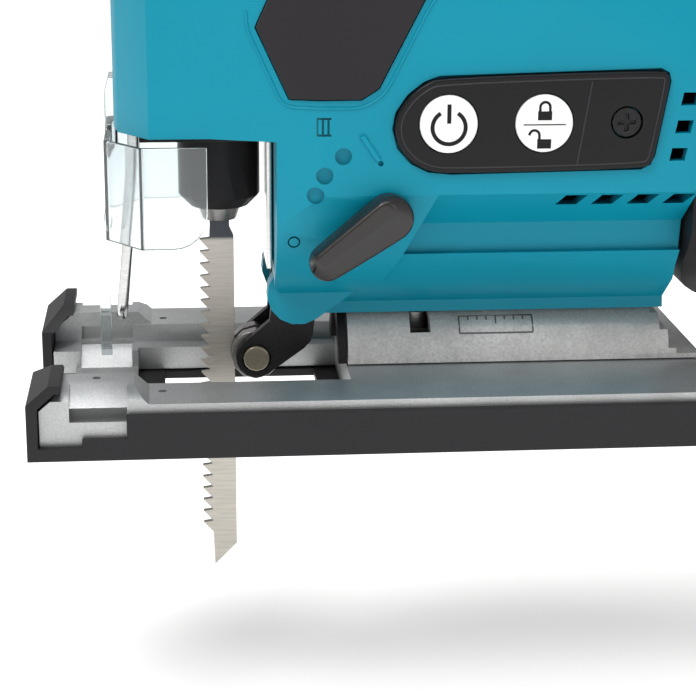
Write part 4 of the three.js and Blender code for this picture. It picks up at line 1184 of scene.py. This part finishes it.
@dataclass
class Controls:
    """The side panels with their buttons, the lever and the dial.

    Attributes:
        print_mm: Thickness of the printed signs.
        stroke_mm: Line width of the signs.
        gap_mm: Clearance round what sits in the panel.
        cap_mm: Depth of a button's cap.
        stem_radius: Radius of a button's stem.
        rim_mm: How far the membrane's rim line lies from the panel's edge.
        lever_ends: Offset from the pivot and radius of the lever's big end and of its tip.
        lever_height: How far the lever's grip stands out.
        hub_radius: Radius of the lever's hub.
        slope_mm: How far the grip's rim lies below its crest.
        crest_share: Width of the crest as a share of the grip's.
        crest_rise: How far the crest lies towards the upper edge, from 0 to 1.
    """

    print_mm: float = 0.06
    stroke_mm: float = 0.8
    gap_mm: float = 0.28
    cap_mm: float = 2.7
    stem_radius: float = 3.95
    rim_mm: float = 1.2
    lever_ends: tuple[tuple[Point, float], ...] = (((0.0, 0.0), 4.9), ((-12.4, -9.0), 3.7))
    lever_height: float = 5.6
    hub_radius: float = 2.6
    slope_mm: float = 2.2
    crest_share: float = 0.42
    crest_rise: float = 0.75

    def build(self, finishes: Finishes) -> None:
        """Builds both panels and the loose controls.

        Args:
            finishes: The saw's finishes.
        """
        for side in Side:
            name = side.name.lower()
            buttons = [f"{kind}_button_{name}" for kind in ("power", "lock")]
            self.panel(f"control_panel_{name}", buttons + [f"panel_screw_{name}"], finishes)
            self.membrane(side, finishes)
            refined(f"panel_screw_{name}", finishes.oxide, 0.15)
            for node in buttons:
                self.button(node, side, finishes)
            self.power_sign(side, finishes)
            self.lock_sign(side, finishes)
        self.lever(finishes)
        refined("speed_dial", finishes.black, 0.15)

    def face_of(self, node: str, side: Side) -> tuple[float, float, tuple[float, float]]:
        """Gives the middle and the print's span of a button's face.

        Args:
            node: The button's node.
            side: The side it is on.

        Returns:
            The middle's X and Z and the print's two Y limits, in millimetres.
        """
        low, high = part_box(node)
        outer = low.y / MM if side is Side.LEFT else high.y / MM
        span = (outer + side.value * self.print_mm, outer - side.value * 0.2)
        return (low.x + high.x) / 2 / MM, (low.z + high.z) / 2 / MM, span

    def button(self, node: str, side: Side, finishes: Finishes) -> None:
        """Shapes one push button: a broad cap on a stem.

        Args:
            node: The button's node.
            side: The side it is on.
            finishes: The saw's finishes.
        """
        low, high = (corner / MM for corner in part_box(node))
        outer, inner = (low.y, high.y) if side is Side.LEFT else (high.y, low.y)
        back = outer - side.value * self.cap_mm
        cap = turned(node, finishes.white, 0.45, (high.x - low.x) / 2, (outer, back))
        stem = turned(node, finishes.white, 0, self.stem_radius, (back + side.value * 0.5, inner))
        piece = finish_mesh(merged(f"{node}_finished", [cap, stem]), 0, sharp=50)
        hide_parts(node)
        placed(piece, body_of(node))

    def panel(self, node: str, fittings: Sequence[str], finishes: Finishes) -> None:
        """Shapes one panel with a smooth outline and round holes.

        Args:
            node: The panel's node.
            fittings: The round nodes that sit in it.
            finishes: The saw's finishes.
        """
        low, high = (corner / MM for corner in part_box(node))
        plate = side_prism(f"{node}_finished", side_outline(node), (low.y, high.y), finishes.membrane)
        finish_mesh(plate, 0.5, 3)
        through = (low.y - 1, high.y + 1)
        holes = []
        for name in fittings:
            start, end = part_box(name)
            radius = (end.x - start.x) / 2 / MM + self.gap_mm
            holes.append(turned(name, finishes.membrane, 0, radius, through))
        carved(plate, [merged("hole_cutter", holes)])
        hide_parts(node)
        placed(plate, body_of(node))

    def lever(self, finishes: Finishes) -> None:
        """Shapes the orbit lever: a crest near its upper edge and a broad face sloping down from it.

        Args:
            finishes: The saw's finishes.
        """
        low, high = (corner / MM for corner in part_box("orbit_lever"))
        foot = low.y + self.lever_height
        ends = [(*from_lever(offset), radius) for offset, radius in self.lever_ends]
        (big_x, big_z, _), (tip_x, tip_z, _) = ends
        along = Vector((tip_x - big_x, tip_z - big_z)).normalized()
        upward = Vector((along.y, -along.x))
        shape = bmesh.new()
        outline = side_outline("orbit_lever")
        for y in (foot, low.y + self.slope_mm):
            for x, z in outline:
                shape.verts.new((x * MM, y * MM, z * MM))
        for x, z, radius in ends:
            slim = radius * self.crest_share
            middle = Vector((x, z)) + upward * (radius - slim) * self.crest_rise
            for px, pz in arc(middle.x, middle.y, slim, 0, 345, 23):
                shape.verts.new((px * MM, low.y * MM, pz * MM))
        hull = bmesh.ops.convex_hull(shape, input=shape.verts)
        spare = {g for g in hull["geom_interior"] if isinstance(g, bmesh.types.BMVert)}
        bmesh.ops.delete(shape, geom=list(spare), context="VERTS")
        bmesh.ops.dissolve_limit(shape, angle_limit=math.radians(2), verts=shape.verts, edges=shape.edges)
        grip = finish_mesh(object_from("lever_grip", shape, finishes.lever), 0.9, 4, 18)
        big_ring = arc(big_x, big_z, self.hub_radius, 0, 352.5, 47)
        hub = side_prism("lever_hub", big_ring, (foot - 0.5, high.y), finishes.lever)
        piece = finish_mesh(merged("orbit_lever_finished", [grip, hub]), 0, sharp=50)
        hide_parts("orbit_lever")
        placed(piece, body_of("orbit_lever"))

    def power_sign(self, side: Side, finishes: Finishes) -> None:
        """Prints the usual broken ring and bar.

        Args:
            side: The side it is on.
            finishes: The saw's finishes.
        """
        node = f"power_button_{side.name.lower()}"
        x, z, span = self.face_of(node, side)
        ring = band(arc(x, z - 0.6, 3.3, 121, 419, 32), self.stroke_mm)
        bar = band([(x, z + 0.2), (x, z + 4.0)], self.stroke_mm)
        parts = [side_prism("power_part", line, span, finishes.ink) for line in (ring, bar)]
        placed(merged(f"power_sign_{side.name.lower()}", parts), body_of(node))

    def lock_sign(self, side: Side, finishes: Finishes) -> None:
        """Prints a closed padlock over an open one, with a thin line between them.

        Args:
            side: The side it is on.
            finishes: The saw's finishes.
        """
        node = f"lock_button_{side.name.lower()}"
        x, z, span = self.face_of(node, side)
        bow = 1.0
        lines = [
            band([(x - 1.4, z + 1.58), (x + 1.4, z + 1.58)], 1.76),
            band([(x - bow, z + 2.4)] + arc(x, z + 3.3, bow, 180, 0, 12) + [(x + bow, z + 2.4)], 0.5),
            band([(x - 4.25, z - 0.2), (x + 4.25, z - 0.2)], 0.22),
            band([(x - 1.4, z - 4.03), (x + 1.4, z - 4.03)], 1.86),
            band([(x - bow, z - 3.2)] + arc(x - 2 * bow, z - 2.3, bow, 0, 180, 12), 0.5),
        ]
        parts = [side_prism("lock_part", line, span, finishes.ink) for line in lines]
        placed(merged(f"lock_sign_{side.name.lower()}", parts), body_of(node))

    def membrane(self, side: Side, finishes: Finishes) -> None:
        """Lays the raised rim line and the slanted end line of the switch membrane, in a lighter grey that is
        a painted highlight.

        Args:
            side: The side it is on.
            finishes: The saw's finishes.
        """
        node = f"control_panel_{side.name.lower()}"
        low, high = (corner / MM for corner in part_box(node))
        face = low.y if side is Side.LEFT else high.y
        outline = [Vector(spot) for spot in side_outline(node)]
        loop = []
        for before, here, after in zip(outline[-1:] + outline, outline, outline[1:] + outline[:1]):
            along = (after - before).normalized()
            inner = here + Vector((-along.y, along.x)) * self.rim_mm
            loop.append((inner.x, face, inner.y))
        # Both lines take the lighter grey as a painted highlight on the raised film.
        lines = [swept("rim_line", loop, 0.16, finishes.membrane_line_highlight, closed=True, sides=8)]
        slant = [(high.x - 15.9, face, high.z - 2.1), (high.x - 18.4, face, low.z + 1.6)]
        lines.append(swept("end_line", slant, 0.16, finishes.membrane_line_highlight, sides=8))
        placed(merged(f"panel_lines_{side.name.lower()}", lines), "tool")


@dataclass
class BladeEnd:
    """The clamp, blade, guide, clear cover and finger guard.

    Attributes:
        wire_mm: Radius of the guard's wire.
    """

    wire_mm: float = 1.2

    def build(self, finishes: Finishes) -> None:
        """Builds everything in front of and under the nose.

        Args:
            finishes: The saw's finishes.
        """
        refined("clamp_sleeve", finishes.black, 0.4, 2)
        refined("clamp_collar", finishes.steel, 0.3)
        refined("saw_blade", finishes.blade, 0.08, 1, 40)
        refined("plunger_rod", finishes.steel, 0.2)
        refined("guide_arm", finishes.oxide, 0.35)
        refined("guide_roller", finishes.steel, 0.4)
        refined("roller_pin", finishes.pin, 0.4)
        refined("swing_pin", finishes.pin, 0.3)
        refined("chip_cover", finishes.clear, 0.35, 2)
        refined("nose_plate", finishes.black, 0.2)
        refined("front_plate", finishes.bright, 0.25)
        refined("lamp_lens", finishes.clear, 0.2)
        refined("bevel_bolt", finishes.steel, 0.2)
        self.guard(finishes)

    def guard(self, finishes: Finishes) -> None:
        """Bends the finger guard from round wire.

        Args:
            finishes: The saw's finishes.
        """
        low, high = (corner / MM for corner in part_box("finger_guard"))
        half = (high.y - low.y) / 2 - self.wire_mm
        rear = high.x - self.wire_mm
        foot = low.z + self.wire_mm
        front = low.x + self.wire_mm
        leg = [(rear, half, high.z), (rear - 0.2, half, foot + 31), (front, half, foot)]
        path = rounded_path(leg + [(x, -y, z) for x, y, z in leg[::-1]], 3.0)
        piece = swept("finger_guard_wire", path, self.wire_mm, finishes.bright, sides=16)
        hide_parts("finger_guard")
        placed(piece, "tool")


@dataclass
class DriveLine:
    """The motor, gear and electrics inside the body."""

    def build(self, finishes: Finishes) -> None:
        """Dresses the inner nodes.

        Args:
            finishes: The saw's finishes.
        """
        looks = {
            finishes.plate: ("gear_case",),
            finishes.steel: ("gear_shaft", "front_bearing", "rear_bearing", "motor_rotor", "pinion_shaft",
                             "drive_gear", "battery_cells"),
            finishes.bronze: ("lower_guide_bush", "upper_guide_bush"),
            finishes.copper: ("motor_stator",),
            finishes.black: ("cooling_fan", "terminal_block"),
            finishes.board: ("controller_board",),
        }
        for material, nodes in looks.items():
            for node in nodes:
                dressed(node, material)


@dataclass
class PowerPack:
    """The slide-on battery and the cover in front of it.

    Attributes:
        rib_count: Grip ribs on each side of the pack.
        rib_pitch: Distance between ribs in millimetres.
        rib_height: Height of the ribs in millimetres.
        rib_width: Width of the ribs in millimetres.
    """

    rib_count: int = 7
    rib_pitch: float = 3.2
    rib_height: float = 15.0
    rib_width: float = 1.3

    def build(self, finishes: Finishes) -> None:
        """Builds the pack.

        Args:
            finishes: The saw's finishes.
        """
        refined("rear_cover", finishes.black, 0.8, 3)
        refined("battery_tub", finishes.black, 1.2, 3)
        refined("battery_lid", finishes.black, 0.6)
        refined("battery_release", finishes.rubber, 0.8, 3)
        surface = Surface(("battery_tub",))
        low, high = (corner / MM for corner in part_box("battery_tub"))
        x = (low.x + high.x) / 2 - self.rib_pitch * (self.rib_count - 1) / 2
        z = (low.z + high.z) / 2
        for side in Side:
            face = surface.at(x, z, side)
            half = self.rib_height / 2
            bar = band([(0, -half), (0, half)], self.rib_width)
            rib = finish_mesh(side_prism("rib", bar, (-0.5, 0.5), finishes.black), 0.3)
            ribs = Repeat.make(
                f"pack_ribs_{side.name.lower()}", rib, self.rib_count, (x, face, z), (self.rib_pitch, 0, 0)
            )
            placed(ribs, "battery")


# ---- studio ------------------------------------------------------------------------------------------------
@dataclass
class Studio:
    """Plain floor, soft lights and the camera.

    Attributes:
        eye_mm: The camera's place.
        yaw: Turn of the view towards +X in degrees.
        pitch: Downward tilt in degrees.
        roll: Turn about the line of sight in degrees.
        lens_mm: Focal length on a 36 mm sensor.
        floor_z: Height of the floor.
        surround: Strength of the even white surround.
        floor_glow: Light the floor gives off, which keeps its shadow pale.
    """

    eye_mm: tuple[float, float, float] = (-42.88, -403.03, 131.50)
    yaw: float = 5.285
    pitch: float = 16.552
    roll: float = 0.369
    lens_mm: float = 98.87
    floor_z: float = -0.062
    surround: float = 0.5
    floor_glow: float = 0.35

    def build(self) -> None:
        """Builds the studio."""
        self.floor()
        self.lights()
        self.camera()

    def floor(self) -> None:
        """Lays a pale floor with a faint mottle."""
        material = Moulded("pale_studio_floor", "F6F6F5", "F3F3F2", 0.9, 4.0, 0.02).make()
        shader = material.node_tree.nodes["Principled BSDF"]
        shader.inputs["Emission Color"].default_value = (1, 1, 1, 1)
        shader.inputs["Emission Strength"].default_value = self.floor_glow
        shape = bmesh.new()
        bmesh.ops.create_grid(shape, x_segments=2, y_segments=2, size=6.0)
        bmesh.ops.translate(shape, verts=shape.verts, vec=(0, 0, self.floor_z))
        mesh = bpy.data.meshes.new("studio_floor")
        shape.to_mesh(mesh)
        shape.free()
        mesh.materials.append(material)
        floor = bpy.data.objects.new("studio_floor", mesh)
        bpy.context.scene.collection.objects.link(floor)

    def lights(self) -> None:
        """Hangs three large soft lights and sets an even white surround."""
        world = bpy.data.worlds.new("studio_surround")
        world.use_nodes = True
        shade = world.node_tree.nodes["Background"]
        shade.inputs["Color"].default_value = (1, 1, 1, 1)
        shade.inputs["Strength"].default_value = self.surround
        bpy.context.scene.world = world
        rows = (
            ("key", (-0.6, -0.7, 1.25), 0.6, 12.0),
            ("fill", (1.0, -0.9, 0.5), 0.9, 2.5),
            ("top", (0.05, 0.1, 1.2), 0.8, 9.0),
        )
        for name, place, size, power in rows:
            light = bpy.data.lights.new(f"studio_{name}", "AREA")
            light.size = size
            light.energy = power
            holder = bpy.data.objects.new(f"studio_{name}", light)
            holder.location = place
            aim = Vector((0, 0, 0.05)) - Vector(place)
            holder.rotation_euler = aim.to_track_quat("-Z", "Y").to_euler()
            bpy.context.scene.collection.objects.link(holder)
        bpy.context.scene.view_settings.view_transform = "Standard"

    def camera(self) -> None:
        """Sets up the camera."""
        data = bpy.data.cameras.new("studio_camera")
        data.sensor_width = 36.0
        data.lens = self.lens_mm
        data.clip_start = 0.01
        camera = bpy.data.objects.new("studio_camera", data)
        camera.location = [v * MM for v in self.eye_mm]
        yaw, pitch, roll = (math.radians(v) for v in (self.yaw, self.pitch, self.roll))
        level = Euler((math.pi / 2 - pitch, 0, -yaw), "XYZ").to_matrix().to_4x4()
        camera.matrix_world = Matrix.Translation(camera.location) @ level @ Matrix.Rotation(roll, 4, "Z")
        bpy.context.scene.collection.objects.link(camera)
        bpy.context.scene.camera = camera


def main() -> None:
    """Builds the saw and the studio."""
    logging.basicConfig(level=logging.INFO, format="%(name)s: %(message)s")
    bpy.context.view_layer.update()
    finishes = Finishes()
    surface = Surface(("housing_left", "housing_right"))
    Shoe().build(finishes)
    Housing().build(finishes, surface)
    Grips().build(finishes, surface)
    Controls().build(finishes)
    BladeEnd().build(finishes)
    DriveLine().build(finishes)
    PowerPack().build(finishes)
    Studio().build()


if __name__ == "__main__":
    main()
